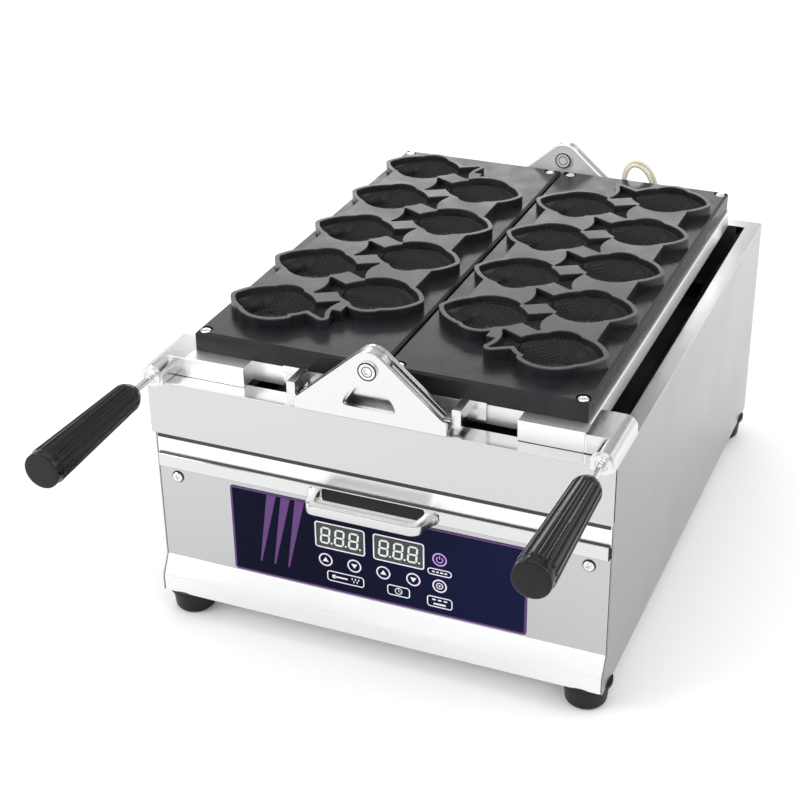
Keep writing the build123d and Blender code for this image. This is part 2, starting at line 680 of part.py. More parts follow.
# ------------------------------------------------------------------ hinge
def slope_angle():
    """The angle at which the right-hand slope leaves the round apex, seen from the pivot."""
    corner = Vector(BRACKET_HALF_WIDTH, DECK_HEIGHT + BRACKET_END_HEIGHT - AXIS_Z)
    turn = math.acos(BRACKET_APEX_RADIUS / corner.length)
    return math.atan2(corner.Y, corner.X) + turn


def bracket_outline():
    """One cheek: a foot with short upright ends and two slopes that run tangent onto the round apex."""
    foot_z = DECK_HEIGHT
    angle = slope_angle()
    tangent = (BRACKET_APEX_RADIUS * math.cos(angle), AXIS_Z + BRACKET_APEX_RADIUS * math.sin(angle))
    left = (-tangent[0], tangent[1])
    end_z = foot_z + BRACKET_END_HEIGHT
    half = BRACKET_HALF_WIDTH
    edges = [
        Line((-half, foot_z), (half, foot_z)),
        Line((half, foot_z), (half, end_z)),
        Line((half, end_z), tangent),
        ThreePointArc(tangent, (0, AXIS_Z + BRACKET_APEX_RADIUS), left),
        Line(left, (-half, end_z)),
        Line((-half, end_z), (-half, foot_z)),
    ]
    return make_face(edges)


def bracket_window():
    """The half-moon window under the pivot: flat sill, arched head."""
    sill = DECK_HEIGHT + WINDOW_SILL
    half = WINDOW_HALF_WIDTH
    arch = ThreePointArc((half, sill), (0, sill + WINDOW_HEIGHT), (-half, sill))
    window = make_face([Line((-half, sill), (half, sill)), arch])
    return fillet(window.vertices(), WINDOW_CORNER)


def pivot_bracket(y0, window_y):
    """Two cheeks and a floor folded from one plate; the cheek at window_y has the window."""
    y1 = y0 + BRACKET_DEPTH
    body = prism_y(bracket_outline(), y0, y1)
    floor_z = DECK_HEIGHT + BRACKET_FLOOR
    apex_z = AXIS_Z + BRACKET_APEX_RADIUS
    half = BRACKET_HALF_WIDTH
    body -= block(-half, half, y0 + BRACKET_CHEEK, y1 - BRACKET_CHEEK, floor_z, apex_z)
    body -= rod_y(0, AXIS_Z, y0, y1, PIVOT_RADIUS)
    body -= prism_y(bracket_window(), window_y, window_y + BRACKET_CHEEK)
    for x in (-BRACKET_SCREW_X, BRACKET_SCREW_X):
        body -= rod_z(x, (y0 + y1) / 2, DECK_HEIGHT, floor_z, BRACKET_SCREW_RADIUS + SCREW_CLEARANCE)
    return body


def bracket_screws():
    """The screws that hold both brackets, their heads under the deck."""
    screws = Part()
    for y0 in (FRONT_BRACKET_Y, REAR_BRACKET_Y):
        for x in (-BRACKET_SCREW_X, BRACKET_SCREW_X):
            y = y0 + BRACKET_DEPTH / 2
            under = DECK_HEIGHT - SHEET
            screws += rod_z(x, y, under, DECK_HEIGHT + BRACKET_FLOOR, BRACKET_SCREW_RADIUS)
            screws += rod_z(x, y, under - BRACKET_HEAD_THICK, under, 2 * BRACKET_SCREW_RADIUS)
    return screws


def pivot_bolt(y_head, direction):
    """A shoulder bolt through both cheeks: socket head outside, thin nut inside, washer between the arms."""
    shank = PIVOT_RADIUS - PIVOT_CLEARANCE
    y_far = y_head + direction * (BRACKET_DEPTH + PIVOT_NUT_THICK)
    y_out = y_head - direction * PIVOT_HEAD_THICK
    ends = sorted((y_head, y_out))
    head = rod_y(0, AXIS_Z, *ends, PIVOT_HEAD_RADIUS)
    outer_edges = head.edges().filter_by(GeomType.CIRCLE).sort_by(Axis.Y)
    outer_edge = outer_edges[0] if direction > 0 else outer_edges[-1]
    head = fillet(outer_edge, PIVOT_HEAD_EDGE)
    depth = sorted((y_out, y_out + direction * PIVOT_SOCKET_DEPTH))
    head -= prism_y(Pos(0, AXIS_Z) * RegularPolygon(PIVOT_SOCKET_RADIUS, 6), *depth)
    bolt = head + rod_y(0, AXIS_Z, *sorted((y_head, y_far)), shank)
    nut_faces = sorted((y_head + direction * BRACKET_DEPTH, y_far))
    return bolt + rod_y(0, AXIS_Z, *nut_faces, PIVOT_NUT_RADIUS)


def arm_slices(bracket_y, inner_direction):
    """The y ranges of the right and the left arm in a channel; the right one is nearer the moulds."""
    near = bracket_y + BRACKET_CHEEK + ARM_SIDE_GAP
    far = bracket_y + BRACKET_CHEEK + BRACKET_CHANNEL - ARM_SIDE_GAP - ARM_THICK
    right, left = (far, near) if inner_direction > 0 else (near, far)
    return (right, right + ARM_THICK), (left, left + ARM_THICK)


def arm_washers():
    """The spacer washers on the pivot bolts, between the two arms of each channel."""
    washers = Part()
    for bracket_y in (FRONT_BRACKET_Y, REAR_BRACKET_Y):
        middle = bracket_y + BRACKET_DEPTH / 2
        half = (BRACKET_CHANNEL - 2 * ARM_THICK - 2 * ARM_SIDE_GAP) / 2
        ring = rod_y(0, AXIS_Z, middle - half, middle + half, WASHER_RADIUS)
        washers += ring - rod_y(0, AXIS_Z, middle - half, middle + half, PIVOT_RADIUS)
    return washers


def arm_outline(tab_x, tab_drop):
    """An arm seen from the front: round eye, web sunk below the cheeks' slope, riser up to the tab."""
    angle = slope_angle()
    offset = BRACKET_APEX_RADIUS - ARM_SINK
    end_z = DECK_HEIGHT + BRACKET_END_HEIGHT
    low = DECK_HEIGHT + BRACKET_FLOOR + ARM_FLOOR_GAP
    high = AXIS_Z - tab_drop + ARM_TAB_HEIGHT / 2
    start = (offset * math.cos(angle), AXIS_Z + offset * math.sin(angle))
    meet_x = (offset - (end_z - AXIS_Z) * math.sin(angle)) / math.cos(angle)
    out_x = tab_x + ARM_TAB_CORNER
    corners = [(0, AXIS_Z), start, (meet_x, end_z), (out_x, end_z), (out_x, low), (ARM_WEB_START, low)]
    web = make_face(Polyline(*corners, close=True))
    riser = RectangleRounded(ARM_TAB_LENGTH, high - low, ARM_TAB_CORNER)
    riser = Pos(tab_x + ARM_TAB_LENGTH / 2, (low + high) / 2) * riser
    return Pos(0, AXIS_Z) * Circle(ARM_EYE_RADIUS) + web + riser


def hinge_arm(y_slice, frame_y, tab_x, tab_drop):
    """A right-hand arm in its channel, with its tab across to the plate on the frame's end wall."""
    y0, y1 = y_slice
    tab_z = AXIS_Z - tab_drop
    end_x = tab_x + ARM_TAB_LENGTH / 2
    arm = prism_y(arm_outline(tab_x, tab_drop), y0, y1)
    arm -= rod_y(0, AXIS_Z, y0, y1, PIVOT_RADIUS)
    tab = RectangleRounded(ARM_TAB_LENGTH, ARM_TAB_HEIGHT, ARM_TAB_CORNER)
    outward = -1 if frame_y > y0 else 1
    arm += prism_y(Pos(end_x, tab_z) * tab, *sorted((y0 if outward < 0 else y1, frame_y)))
    plate_y = sorted((frame_y + outward * ARM_PLATE_THICK, frame_y))
    low = FRAME_BOTTOM_Z + ARM_PLATE_RISE
    high = tab_z + ARM_TAB_HEIGHT / 2
    return arm + block(tab_x, tab_x + ARM_PLATE_LENGTH, *plate_y, low, high)


# ------------------------------------------------------------------ one mould half, drawn on the right
def fish_body():
    """The body of a sea bream seen from its side: two bows from the nose at the origin to the waist."""
    half, waist = FISH_BODY_HEIGHT / 2, FISH_WAIST / 2
    edges = [
        ThreePointArc((FISH_WAIST_X, waist), (FISH_CROWN_X, half), (0, 0)),
        ThreePointArc((0, 0), (FISH_CROWN_X, -half), (FISH_WAIST_X, -waist)),
        Line((FISH_WAIST_X, -waist), (FISH_WAIST_X, waist)),
    ]
    body = make_face(edges)
    return fillet(body.vertices().sort_by(Axis.X)[0], FISH_NOSE_RADIUS)


def fish_tail():
    """The forked tail, rooted inside the body."""
    root_x, waist, tail = FISH_WAIST_X - FISH_TAIL_ROOT, FISH_WAIST / 2, FISH_TAIL_SPAN / 2
    edges = [
        Line((root_x, -waist), (FISH_WAIST_X, -waist)),
        Line((FISH_WAIST_X, -waist), (FISH_LENGTH, -tail)),
        ThreePointArc((FISH_LENGTH, -tail), (FISH_LENGTH - FISH_NOTCH, 0), (FISH_LENGTH, tail)),
        Line((FISH_LENGTH, tail), (FISH_WAIST_X, waist)),
        Line((FISH_WAIST_X, waist), (root_x, waist)),
        Line((root_x, waist), (root_x, -waist)),
    ]
    outline = make_face(edges)
    return fillet(outline.vertices().group_by(Axis.X)[-1], FISH_CORNER)


def fin(xs, side):
    """A fin on the back (side 1) or the belly (side -1): a bow over the crest to a raked tip."""
    start, middle, end = xs
    crest = FISH_HEIGHT / 2
    tip = crest - FIN_TIP_DROP
    root = FISH_WAIST / 2
    edges = [
        Line((start, root), (end - FIN_RAKE, root)),
        Line((end - FIN_RAKE, root), (end, tip)),
        ThreePointArc((end, tip), (middle, crest), (start, root)),
    ]
    outline = make_face(edges)
    outline = fillet(outline.vertices().sort_by(Axis.X)[-1], FISH_CORNER)
    return outline if side > 0 else mirror(outline, about=Plane.XZ)


def fish_shapes():
    """The outlines that make up the fish, each with the depth of its pocket."""
    return [
        (fish_body(), FISH_DEPTH),
        (fish_tail(), TAIL_DEPTH),
        (fin(BACK_FIN, 1), FIN_DEPTH),
        (fin(BELLY_FIN, -1), FIN_DEPTH),
    ]


def cavity():
    """The fish as it is sunk into the block: drafted pockets, the deepest in the body."""
    pocket = Part()
    for outline, depth in fish_shapes():
        pocket += extrude(outline, depth, dir=(0, 0, -1), taper=FISH_DRAFT)
    return pocket


def fish_places():
    """The cavities' places: outer column heads out, seam column heads in and half a pitch further back."""
    places = []
    for row in range(FISH_ROWS):
        places.append(Pos(FISH_OUTER_X, FISH_FIRST_Y + row * FISH_PITCH) * Rot(0, 0, 180))
    for row in range(FISH_ROWS - 1):
        places.append(Pos(FISH_SEAM_X, FISH_FIRST_Y + (row + 0.5) * FISH_PITCH))
    return places


def raised_outline():
    """The raised block seen from above: a rim round every fish and the land between them."""
    rim = Sketch()
    for outline, _ in fish_shapes():
        rim += offset(outline, amount=FISH_RIM, kind=Kind.ARC)
    inner_x = FISH_SEAM_X + FISH_LENGTH
    outer_length = (FISH_ROWS - 1) * FISH_PITCH
    seam_length = outer_length - FISH_PITCH
    middle_y = FISH_FIRST_Y + outer_length / 2
    outer_land = (FISH_OUTER_X - FISH_LENGTH - FISH_RIM, FISH_OUTER_X - SCALLOP_DEPTH)
    seam_land = (FISH_SEAM_X + SCALLOP_DEPTH, inner_x)
    raised = Pos(sum(outer_land) / 2, middle_y) * Rectangle(outer_land[1] - outer_land[0], outer_length)
    raised += Pos(sum(seam_land) / 2, middle_y) * Rectangle(seam_land[1] - seam_land[0], seam_length)
    for place in fish_places():
        raised += place * rim
    return raised


def mould_screw_places():
    """The x and y of the four screws at the corners of the plate."""
    xs = (SEAM_HALF_GAP + MOULD_SCREW_INSET + SCREW_BLOCK_GAP, PLATE_OUTER_X - MOULD_SCREW_INSET)
    ys = (PLATE_FRONT_Y + MOULD_SCREW_INSET, PLATE_REAR_Y - MOULD_SCREW_INSET)
    return [(x, y) for x in xs for y in ys]


def mould():
    """The casting: a flat plate, a raised block scalloped round the fish, and the drafted cavities."""
    slab = block(SEAM_HALF_GAP, PLATE_OUTER_X, PLATE_FRONT_Y, PLATE_REAR_Y, PLATE_BOTTOM_Z, PLATE_TOP_Z)
    slab = chamfer(slab.edges().group_by(Axis.Z)[-1], PLATE_EDGE_CHAMFER)
    casting = slab + extrude(Plane((0, 0, PLATE_TOP_Z)) * raised_outline(), BLOCK_HEIGHT)
    pocket = cavity()
    for place in fish_places():
        casting -= Pos(0, 0, BLOCK_TOP_Z) * place * pocket
    for x, y in mould_screw_places():
        casting -= rod_z(x, y, PLATE_BOTTOM_Z, PLATE_TOP_Z, MOULD_SCREW_RADIUS + SCREW_CLEARANCE)
        casting -= rod_z(x, y, PLATE_TOP_Z - MOULD_HEAD_THICK, PLATE_TOP_Z, MOULD_COUNTERBORE_RADIUS)
    return casting


def mould_screws():
    """Four screws through the plate into the frame's flange, their heads sunk in the counterbores."""
    screws = Part()
    for x, y in mould_screw_places():
        seat = PLATE_TOP_Z - MOULD_HEAD_THICK
        head = rod_z(x, y, seat, PLATE_TOP_Z, MOULD_HEAD_RADIUS)
        screws += chamfer(head.edges().group_by(Axis.Z)[-1], MOULD_HEAD_CHAMFER)
        screws += rod_z(x, y, PLATE_BOTTOM_Z - FRAME_WALL, seat, MOULD_SCREW_RADIUS)
    return screws


def frame():
    """The stainless frame: four walls, a flange under the mould, and the ledge at the front outer corner."""
    x0, x1 = SEAM_HALF_GAP, FRAME_OUTER_X
    y0, y1 = PLATE_FRONT_Y, PLATE_REAR_Y
    z0, z1 = FRAME_BOTTOM_Z, PLATE_BOTTOM_Z
    wall = FRAME_WALL
    ring = block(x0, x1, y0, y1, z0, z1)
    ring = fillet(ring.edges().filter_by(Axis.Y).group_by(Axis.X)[-1].sort_by(Axis.Z)[-1], FRAME_BEND)
    ring -= block(x0 + wall, x1 - wall, y0 + wall, y1 - wall, z0, z1 - wall)
    flange = FRAME_FLANGE
    ring -= block(x0 + flange, x1 - flange, y0 + flange, y1 - flange, z1 - wall, z1)
    for x, y in mould_screw_places():
        ring -= rod_z(x, y, z1 - wall, z1, MOULD_SCREW_RADIUS + SCREW_CLEARANCE)
    ledge = block(LEDGE_INNER_X, x1, LEDGE_FRONT_Y, y0, z0, z1)
    ledge = fillet(ledge.edges().filter_by(Axis.X).group_by(Axis.Y)[0].sort_by(Axis.Z)[-1], FRAME_BEND)
    ledge -= block(LEDGE_INNER_X + wall, x1 - wall, LEDGE_FRONT_Y + wall, y0, z0, z1 - wall)
    return ring + ledge


def half_cover():
    """The bottom sheet of a half, inside the frame's walls."""
    gap = FRAME_WALL + INSIDE_GAP
    x0, x1 = SEAM_HALF_GAP + gap, FRAME_OUTER_X - gap
    y0, y1 = PLATE_FRONT_Y + gap, PLATE_REAR_Y - gap
    return block(x0, x1, y0, y1, FRAME_BOTTOM_Z, FRAME_BOTTOM_Z + COVER_THICK)


def insulation():
    """The fibre pad between the bottom cover and the heater."""
    gap = FRAME_WALL + INSIDE_GAP
    x0, x1 = SEAM_HALF_GAP + gap, FRAME_OUTER_X - gap
    y0, y1 = PLATE_FRONT_Y + gap, PLATE_REAR_Y - gap
    top = PLATE_BOTTOM_Z - 2 * HEATER_RADIUS - 2 * INSIDE_GAP
    return block(x0, x1, y0, y1, FRAME_BOTTOM_Z + COVER_THICK, top)


def heater():
    """The tubular heater: four long runs under the plate, joined by three bends."""
    span = FRAME_OUTER_X - FRAME_WALL - SEAM_HALF_GAP - FRAME_FLANGE * 2
    first = SEAM_HALF_GAP + FRAME_FLANGE + HEATER_RADIUS + INSIDE_GAP
    pitch = (span - 2 * HEATER_RADIUS) / 3
    xs = [first + n * pitch for n in range(4)]
    near, far = PLATE_FRONT_Y + HEATER_END_MARGIN, PLATE_REAR_Y - HEATER_END_MARGIN
    z = PLATE_BOTTOM_Z - HEATER_RADIUS - INSIDE_GAP
    route = [(xs[0], far), (xs[0], near), (xs[1], near), (xs[1], far - HEATER_END_MARGIN)]
    route += [(xs[2], far - HEATER_END_MARGIN), (xs[2], near), (xs[3], near), (xs[3], far)]
    line = Plane((0, 0, z)) * FilletPolyline(*route, radius=HEATER_BEND)
    return sweep(Plane(line @ 0, z_dir=line % 0) * Circle(HEATER_RADIUS), path=line)


def sensor():
    """The temperature probe clipped under the plate between two heater runs."""
    x = (SEAM_HALF_GAP + FRAME_OUTER_X) / 2
    z = PLATE_BOTTOM_Z - SENSOR_RADIUS - INSIDE_GAP
    y0 = PLATE_FRONT_Y + 3 * HEATER_END_MARGIN
    return rod_y(x, z, y0, y0 + SENSOR_LENGTH, SENSOR_RADIUS)


def arch(radius, wall_x, top_z):
    """The lug's section: a round-topped arch over the rod, flat towards wall_x, open below."""
    face = Pos(LUG_X, LUG_Z) * Circle(radius)
    left, right = LUG_X - radius, LUG_X + radius
    face += Pos(LUG_X, (FRAME_BOTTOM_Z + LUG_Z) / 2) * Rectangle(right - left, LUG_Z - FRAME_BOTTOM_Z)
    width, height = LUG_X - wall_x, top_z - FRAME_BOTTOM_Z
    return face + Pos(wall_x + width / 2, FRAME_BOTTOM_Z + height / 2) * Rectangle(width, height)


def handle_lug():
    """The cast corner lug: an arch beside the frame, narrower before the ledge, ended by the ring boss."""
    inner = LUG_RADIUS - LUG_WALL
    top = LUG_Z + LUG_RADIUS
    wide_outer = arch(LUG_RADIUS, FRAME_OUTER_X, top)
    wide_inner = arch(inner, FRAME_OUTER_X + LUG_WALL, top - LUG_WALL)
    narrow_x = LUG_X - LUG_RADIUS
    narrow_outer = arch(LUG_RADIUS, narrow_x, LUG_Z)
    narrow_inner = arch(inner, narrow_x + LUG_WALL, LUG_Z)
    lug = prism_y(wide_outer, LEDGE_FRONT_Y, LUG_REAR_Y) + prism_y(narrow_outer, LUG_FRONT_Y, LEDGE_FRONT_Y)
    lug -= prism_y(wide_inner, LEDGE_FRONT_Y + LUG_WALL, LUG_REAR_Y)
    lug -= prism_y(narrow_inner, LUG_FRONT_Y + LUG_END_WALL, LEDGE_FRONT_Y + LUG_WALL)
    over_deck = APRON_Y - LUG_DECK_GAP
    lug -= block(narrow_x, LUG_X + LUG_RADIUS, over_deck, LUG_REAR_Y, LUG_Z - 2 * LUG_RADIUS, FRAME_BOTTOM_Z)
    lug += rod_y(LUG_X, LUG_Z, LUG_FRONT_Y - BOSS_PROUD, LUG_FRONT_Y, BOSS_RADIUS)
    return lug - rod_y(LUG_X, LUG_Z, LUG_FRONT_Y - BOSS_PROUD, LUG_FRONT_Y + LUG_END_WALL, BOSS_HOLE_RADIUS)


def handle_rod():
    """The steel rod: screwed into the grip, carried by a bush in the lug and held by a nut behind it."""
    wall_y = LUG_FRONT_Y + LUG_END_WALL
    rod = rod_y(LUG_X, LUG_Z, GRIP_FRONT_Y + ROD_GRIP_MARGIN, wall_y + ROD_TAIL, ROD_RADIUS)
    rod += rod_y(LUG_X, LUG_Z, LUG_FRONT_Y, wall_y, BOSS_HOLE_RADIUS - ROD_CLEARANCE)
    nut = RegularPolygon(LUG_RADIUS - LUG_WALL - NUT_GAP, 6)
    return rod + prism_y(Pos(LUG_X, LUG_Z) * nut, wall_y, wall_y + NUT_THICK)


def grip():
    """The moulded grip: shouldered rear end, fluted barrel, flat front cap, bored for the rod."""
    neck, barrel = GRIP_NECK_RADIUS, GRIP_RADIUS
    length = GRIP_LENGTH
    cap = GRIP_CAP_LENGTH
    outline = [
        (0, 0),
        (neck, 0),
        (barrel - GRIP_SHOULDER_STEP, GRIP_NECK_LENGTH),
        (barrel, GRIP_SHOULDER_LENGTH),
        (barrel, length - cap),
        (barrel - GRIP_CAP_STEP, length - cap),
        (barrel - GRIP_CAP_STEP, length - GRIP_EDGE),
        (barrel - GRIP_CAP_STEP - GRIP_EDGE, length),
        (0, length),
    ]
    body = revolve(Plane.XZ * make_face(Polyline(*outline, close=True)), Axis.Z)
    for n in range(GRIP_FLUTES):
        turn = Rot(0, 0, 360 / GRIP_FLUTES * n) * Pos(barrel + GRIP_FLUTE_OFFSET, 0, 0)
        body -= turn * rod_z(0, 0, GRIP_SHOULDER_LENGTH, length - cap, GRIP_FLUTE_RADIUS)
    body -= rod_z(0, 0, 0, length - ROD_GRIP_MARGIN, ROD_RADIUS + ROD_CLEARANCE)
    return Pos(LUG_X, GRIP_REAR_Y, LUG_Z) * Rot(90, 0, 0) * body


# ------------------------------------------------------------------ heater lead
def lead_route():
    """Up from the hinge arm's tab, over in half an octagon, and down to the grommet in the rear deck."""
    x0, x1 = LEAD_MOVING_X, LEAD_FIXED_X
    y0, y1 = LEAD_MOVING_Y, LEAD_FIXED_Y
    radius = (x1 - x0) / 2
    step = radius * math.tan(math.pi / 8)
    tab_top = AXIS_Z - REAR_TAB_DROP + ARM_TAB_HEIGHT / 2
    bend_z = tab_top + 2 * step
    middle = (x0 + x1) / 2
    low = DECK_HEIGHT + GROMMET_THICK + LEAD_END_GAP
    return [
        (x0, y0, tab_top),
        (x0, y0, bend_z),
        (middle - step, y0 + LEAD_LEAN * (y1 - y0), bend_z + radius - step),
        (middle + step, y1 - LEAD_LEAN * (y1 - y0), bend_z + radius - step),
        (x1, y1, bend_z),
        (x1 + LEAD_BOW, y1, (bend_z + low) / 2 - LEAD_BOW),
        (x1, y1, low),
    ]


def corner_radii(route):
    """For each inner point, BEND_SHARE of the shorter run over the tangent of half the turn."""
    points = [Vector(*p) for p in route]
    radii = []
    for before, here, after in zip(points, points[1:], points[2:]):
        turn = (here - before).get_angle(after - here)
        shorter = min((here - before).length, (after - here).length)
        radii.append(BEND_SHARE * shorter / math.tan(math.radians(turn / 2)))
    return radii


def heater_lead():
    """The sleeved lead of the right heater, swept round along straight runs and tangent arcs."""
    route = lead_route()
    radii = corner_radii(route)
    print("lead radii", [round(r, 1) for r in radii])
    line = FilletPolyline(*route, radius=radii)
    tube = sweep(Plane(line @ 0, z_dir=line % 0) * Circle(LEAD_DIAMETER / 2), path=line)
    section = math.pi * LEAD_DIAMETER**2 / 4
    print("lead length", round(line.length, 1), "volume over section", round(tube.volume / section, 1))
    return tube


def grommets():
    """The two rubber grommets in the rear deck where the heater leads go down."""
    both = Part()
    z = DECK_HEIGHT
    for side in (-1, 1):
        x, y = side * LEAD_FIXED_X, LEAD_FIXED_Y
        both += rod_z(x, y, z, z + GROMMET_THICK, GROMMET_RADIUS)
        both += rod_z(x, y, z - SHEET, z, GROMMET_RADIUS - GROMMET_LIP - SCREW_CLEARANCE)
        both += rod_z(x, y, z - SHEET - GROMMET_THICK / 2, z - SHEET, GROMMET_RADIUS)
    return both


def lead_gland():
    """The clamp ring round a heater lead, on top of the rear hinge arm's tab."""
    z = AXIS_Z - REAR_TAB_DROP + ARM_TAB_HEIGHT / 2
    place = (LEAD_MOVING_X, LEAD_MOVING_Y, z, z + GROMMET_THICK)
    bore = LEAD_DIAMETER / 2 + SCREW_CLEARANCE
    return rod_z(*place, bore + LEAD_GLAND_WALL) - rod_z(*place, bore)


# ------------------------------------------------------------------ writing the parts
def build_cabinet():
    """Everything that stays still."""
    save("base_tray", base_tray())
    save("side_panel_right", side_panel())
    save("side_panel_left", mirrored(side_panel()))
    save("rear_panel", rear_panel())
    save("deck", deck())
    save("well_liner", well_liner())
    save("front_panel", front_panel())
    save("front_strip", front_strip())
    save("control_overlay", control_overlay())
    save("control_board", control_board())
    save("led_displays", led_displays())
    save("panel_screws", panel_screws())
    save("heat_shield", heat_shield())
    save("drawer_runners", runner() + mirrored(runner()))
    save("terminal_block", terminal_block())
    save("relay_heatsink", relay_heatsink())
    save("foot_bolts", foot_bolts())
    save("cable_gland", cable_gland())
    save("lead_grommets", grommets())
    for name, y in zip(("front", "rear"), foot_rows()):
        save(f"foot_{name}_left", foot(-FOOT_X, y))
        save(f"foot_{name}_right", foot(FOOT_X, y))


def build_hinge():
    """The fixed brackets and the bolts that both halves turn on."""
    save("pivot_bracket_front", pivot_bracket(FRONT_BRACKET_Y, FRONT_BRACKET_Y))
    rear_window = REAR_BRACKET_Y + BRACKET_DEPTH - BRACKET_CHEEK
    save("pivot_bracket_rear", pivot_bracket(REAR_BRACKET_Y, rear_window))
    save("bracket_screws", bracket_screws())
    save("pivot_bolt_front", pivot_bolt(FRONT_BRACKET_Y, 1))
    save("pivot_bolt_rear", pivot_bolt(REAR_BRACKET_Y + BRACKET_DEPTH, -1))
    save("arm_washers", arm_washers())


def build_drawer():
    """The crumb drawer."""
    save("crumb_tray", crumb_tray())
    save("drawer_front", drawer_front())
    save("drawer_handle", drawer_handle())


def build_halves():
    """Both mould halves: each piece is drawn on the right and mirrored for the left."""
    pieces = {
        "mould": mould(),
        "mould_screws": mould_screws(),
        "frame": frame(),
        "half_cover": half_cover(),
        "insulation": insulation(),
        "heater": heater(),
        "sensor": sensor(),
        "handle_lug": handle_lug(),
        "handle_rod": handle_rod(),
        "grip": grip(),
        "lead_gland": lead_gland(),
    }
    for name, shape in pieces.items():
        save(f"{name}_right", shape)
        save(f"{name}_left", mirrored(shape))
    front_slices = arm_slices(FRONT_BRACKET_Y, 1)
    rear_slices = arm_slices(REAR_BRACKET_Y, -1)
    for side, turn, front, rear in zip(("right", "left"), (0, 1), front_slices, rear_slices):
        front_arm = hinge_arm(front, PLATE_FRONT_Y, FRONT_TAB_X, FRONT_TAB_DROP)
        rear_arm = hinge_arm(rear, PLATE_REAR_Y, REAR_TAB_X, REAR_TAB_DROP)
        save(f"arm_front_{side}", mirrored(front_arm) if turn else front_arm)
        save(f"arm_rear_{side}", mirrored(rear_arm) if turn else rear_arm)
    save("heater_lead", heater_lead())


build_cabinet()
build_hinge()
build_drawer()
build_halves()
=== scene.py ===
import json
import logging
import math
from dataclasses import dataclass, field
from enum import Enum
from typing import Callable, Optional, Sequence, Union

import bmesh
import bpy
import numpy as np
from mathutils import Matrix, Vector


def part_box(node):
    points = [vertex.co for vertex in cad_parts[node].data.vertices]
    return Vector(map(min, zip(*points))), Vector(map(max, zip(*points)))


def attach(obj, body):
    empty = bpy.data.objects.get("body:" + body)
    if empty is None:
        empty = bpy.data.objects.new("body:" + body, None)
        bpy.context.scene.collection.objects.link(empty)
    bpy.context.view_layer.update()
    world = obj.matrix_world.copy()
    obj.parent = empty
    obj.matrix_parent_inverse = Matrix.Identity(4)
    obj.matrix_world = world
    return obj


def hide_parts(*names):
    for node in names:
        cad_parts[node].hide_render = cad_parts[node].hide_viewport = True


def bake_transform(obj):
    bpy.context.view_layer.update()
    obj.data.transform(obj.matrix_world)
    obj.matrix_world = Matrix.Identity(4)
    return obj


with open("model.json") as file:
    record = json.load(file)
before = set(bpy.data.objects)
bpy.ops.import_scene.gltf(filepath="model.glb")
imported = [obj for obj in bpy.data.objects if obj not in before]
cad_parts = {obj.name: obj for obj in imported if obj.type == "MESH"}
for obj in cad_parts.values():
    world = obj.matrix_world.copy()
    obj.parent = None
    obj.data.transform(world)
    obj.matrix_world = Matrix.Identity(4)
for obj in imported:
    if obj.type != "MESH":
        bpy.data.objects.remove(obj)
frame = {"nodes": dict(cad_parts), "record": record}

# A countertop fish-cake maker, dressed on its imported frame. Lengths are millimetres until a mesh is written, and
# MM turns them into metres. The shared frame has +Z up, +Y to the rear and its origin under the middle of the machine.

LOG = logging.getLogger("fish_cake_maker")
MM = 0.001
CLOSE = 1e-6           # metres under which two points count as one
FIRST, SECOND = 6, 7   # the colour sockets of a Mix node
MIXED = 2              # its colour output
HEAD_CREASE = 50       # degrees above which an edge is crisp: on screw heads,
RING_CREASE = 40       # on rings, discs and seals,
BAR_CREASE = 32        # on the grips and the drawer's handle,
PRINT_CREASE = 30      # and on print and bushes
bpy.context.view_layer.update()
BODY_OF = {node: body for body, nodes in frame["record"]["behaviour"]["bodies"].items() for node in nodes}

Socket = Union[float, Sequence[float], bpy.types.NodeSocket]
Surface = tuple[np.ndarray, np.ndarray]


# ------------------------------------------------------------------ small tools
def linear(colour: str) -> tuple[float, float, float, float]:
    """Turns an sRGB hex colour into linear RGBA.

    Args:
        colour: six hex digits, with or without a leading #.

    Returns:
        Linear red, green, blue and an alpha of 1.
    """
    digits = colour.lstrip("#")
    srgb = np.array([int(digits[n:n + 2], 16) / 255 for n in (0, 2, 4)])
    light = np.where(srgb <= 0.04045, srgb / 12.92, ((srgb + 0.055) / 1.055) ** 2.4)
    return (float(light[0]), float(light[1]), float(light[2]), 1.0)


def bell(distance: np.ndarray, width: float) -> np.ndarray:
    """Gives the height of a rounded ridge: e to the minus square of the distance over the width.

    Args:
        distance: how far each point is from the ridge's line.
        width: the distance at which about a third of the height is left.

    Returns:
        The heights, 0 to 1.
    """
    return np.exp(-(distance / width) ** 2)


def fade(value: np.ndarray, start: float, end: float) -> np.ndarray:
    """Gives a straight rise from 0 where the value is at the start to 1 where it is at the end.

    Args:
        value: the values.
        start: the value where the rise starts; it may lie above the end.
        end: the value where the rise is over.

    Returns:
        The share of the rise, 0 to 1.
    """
    return np.clip((value - start) / (end - start), 0, 1)


def box_mm(node: str) -> tuple[np.ndarray, np.ndarray]:
    """Finds a CAD node's lowest and highest corners.

    Args:
        node: the node's name.

    Returns:
        The two corners in millimetres.
    """
    low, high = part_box(node)
    return np.array(low) / MM, np.array(high) / MM


def add_node(tree: bpy.types.NodeTree, kind: str, inputs: Optional[dict] = None, **settings) -> bpy.types.Node:
    """Adds one shader node with its settings and links.

    Args:
        tree: the material's node tree.
        kind: the node's class name in Blender, without its ShaderNode prefix.
        inputs: what goes into each socket, by socket name or number: a value, or another node's output.
        settings: the node's own attributes.

    Returns:
        The new node.
    """
    made = tree.nodes.new("ShaderNode" + kind)
    for name, value in settings.items():
        setattr(made, name, value)
    for name, value in (inputs or {}).items():
        if isinstance(value, bpy.types.NodeSocket):
            tree.links.new(value, made.inputs[name])
        else:
            made.inputs[name].default_value = value
    return made


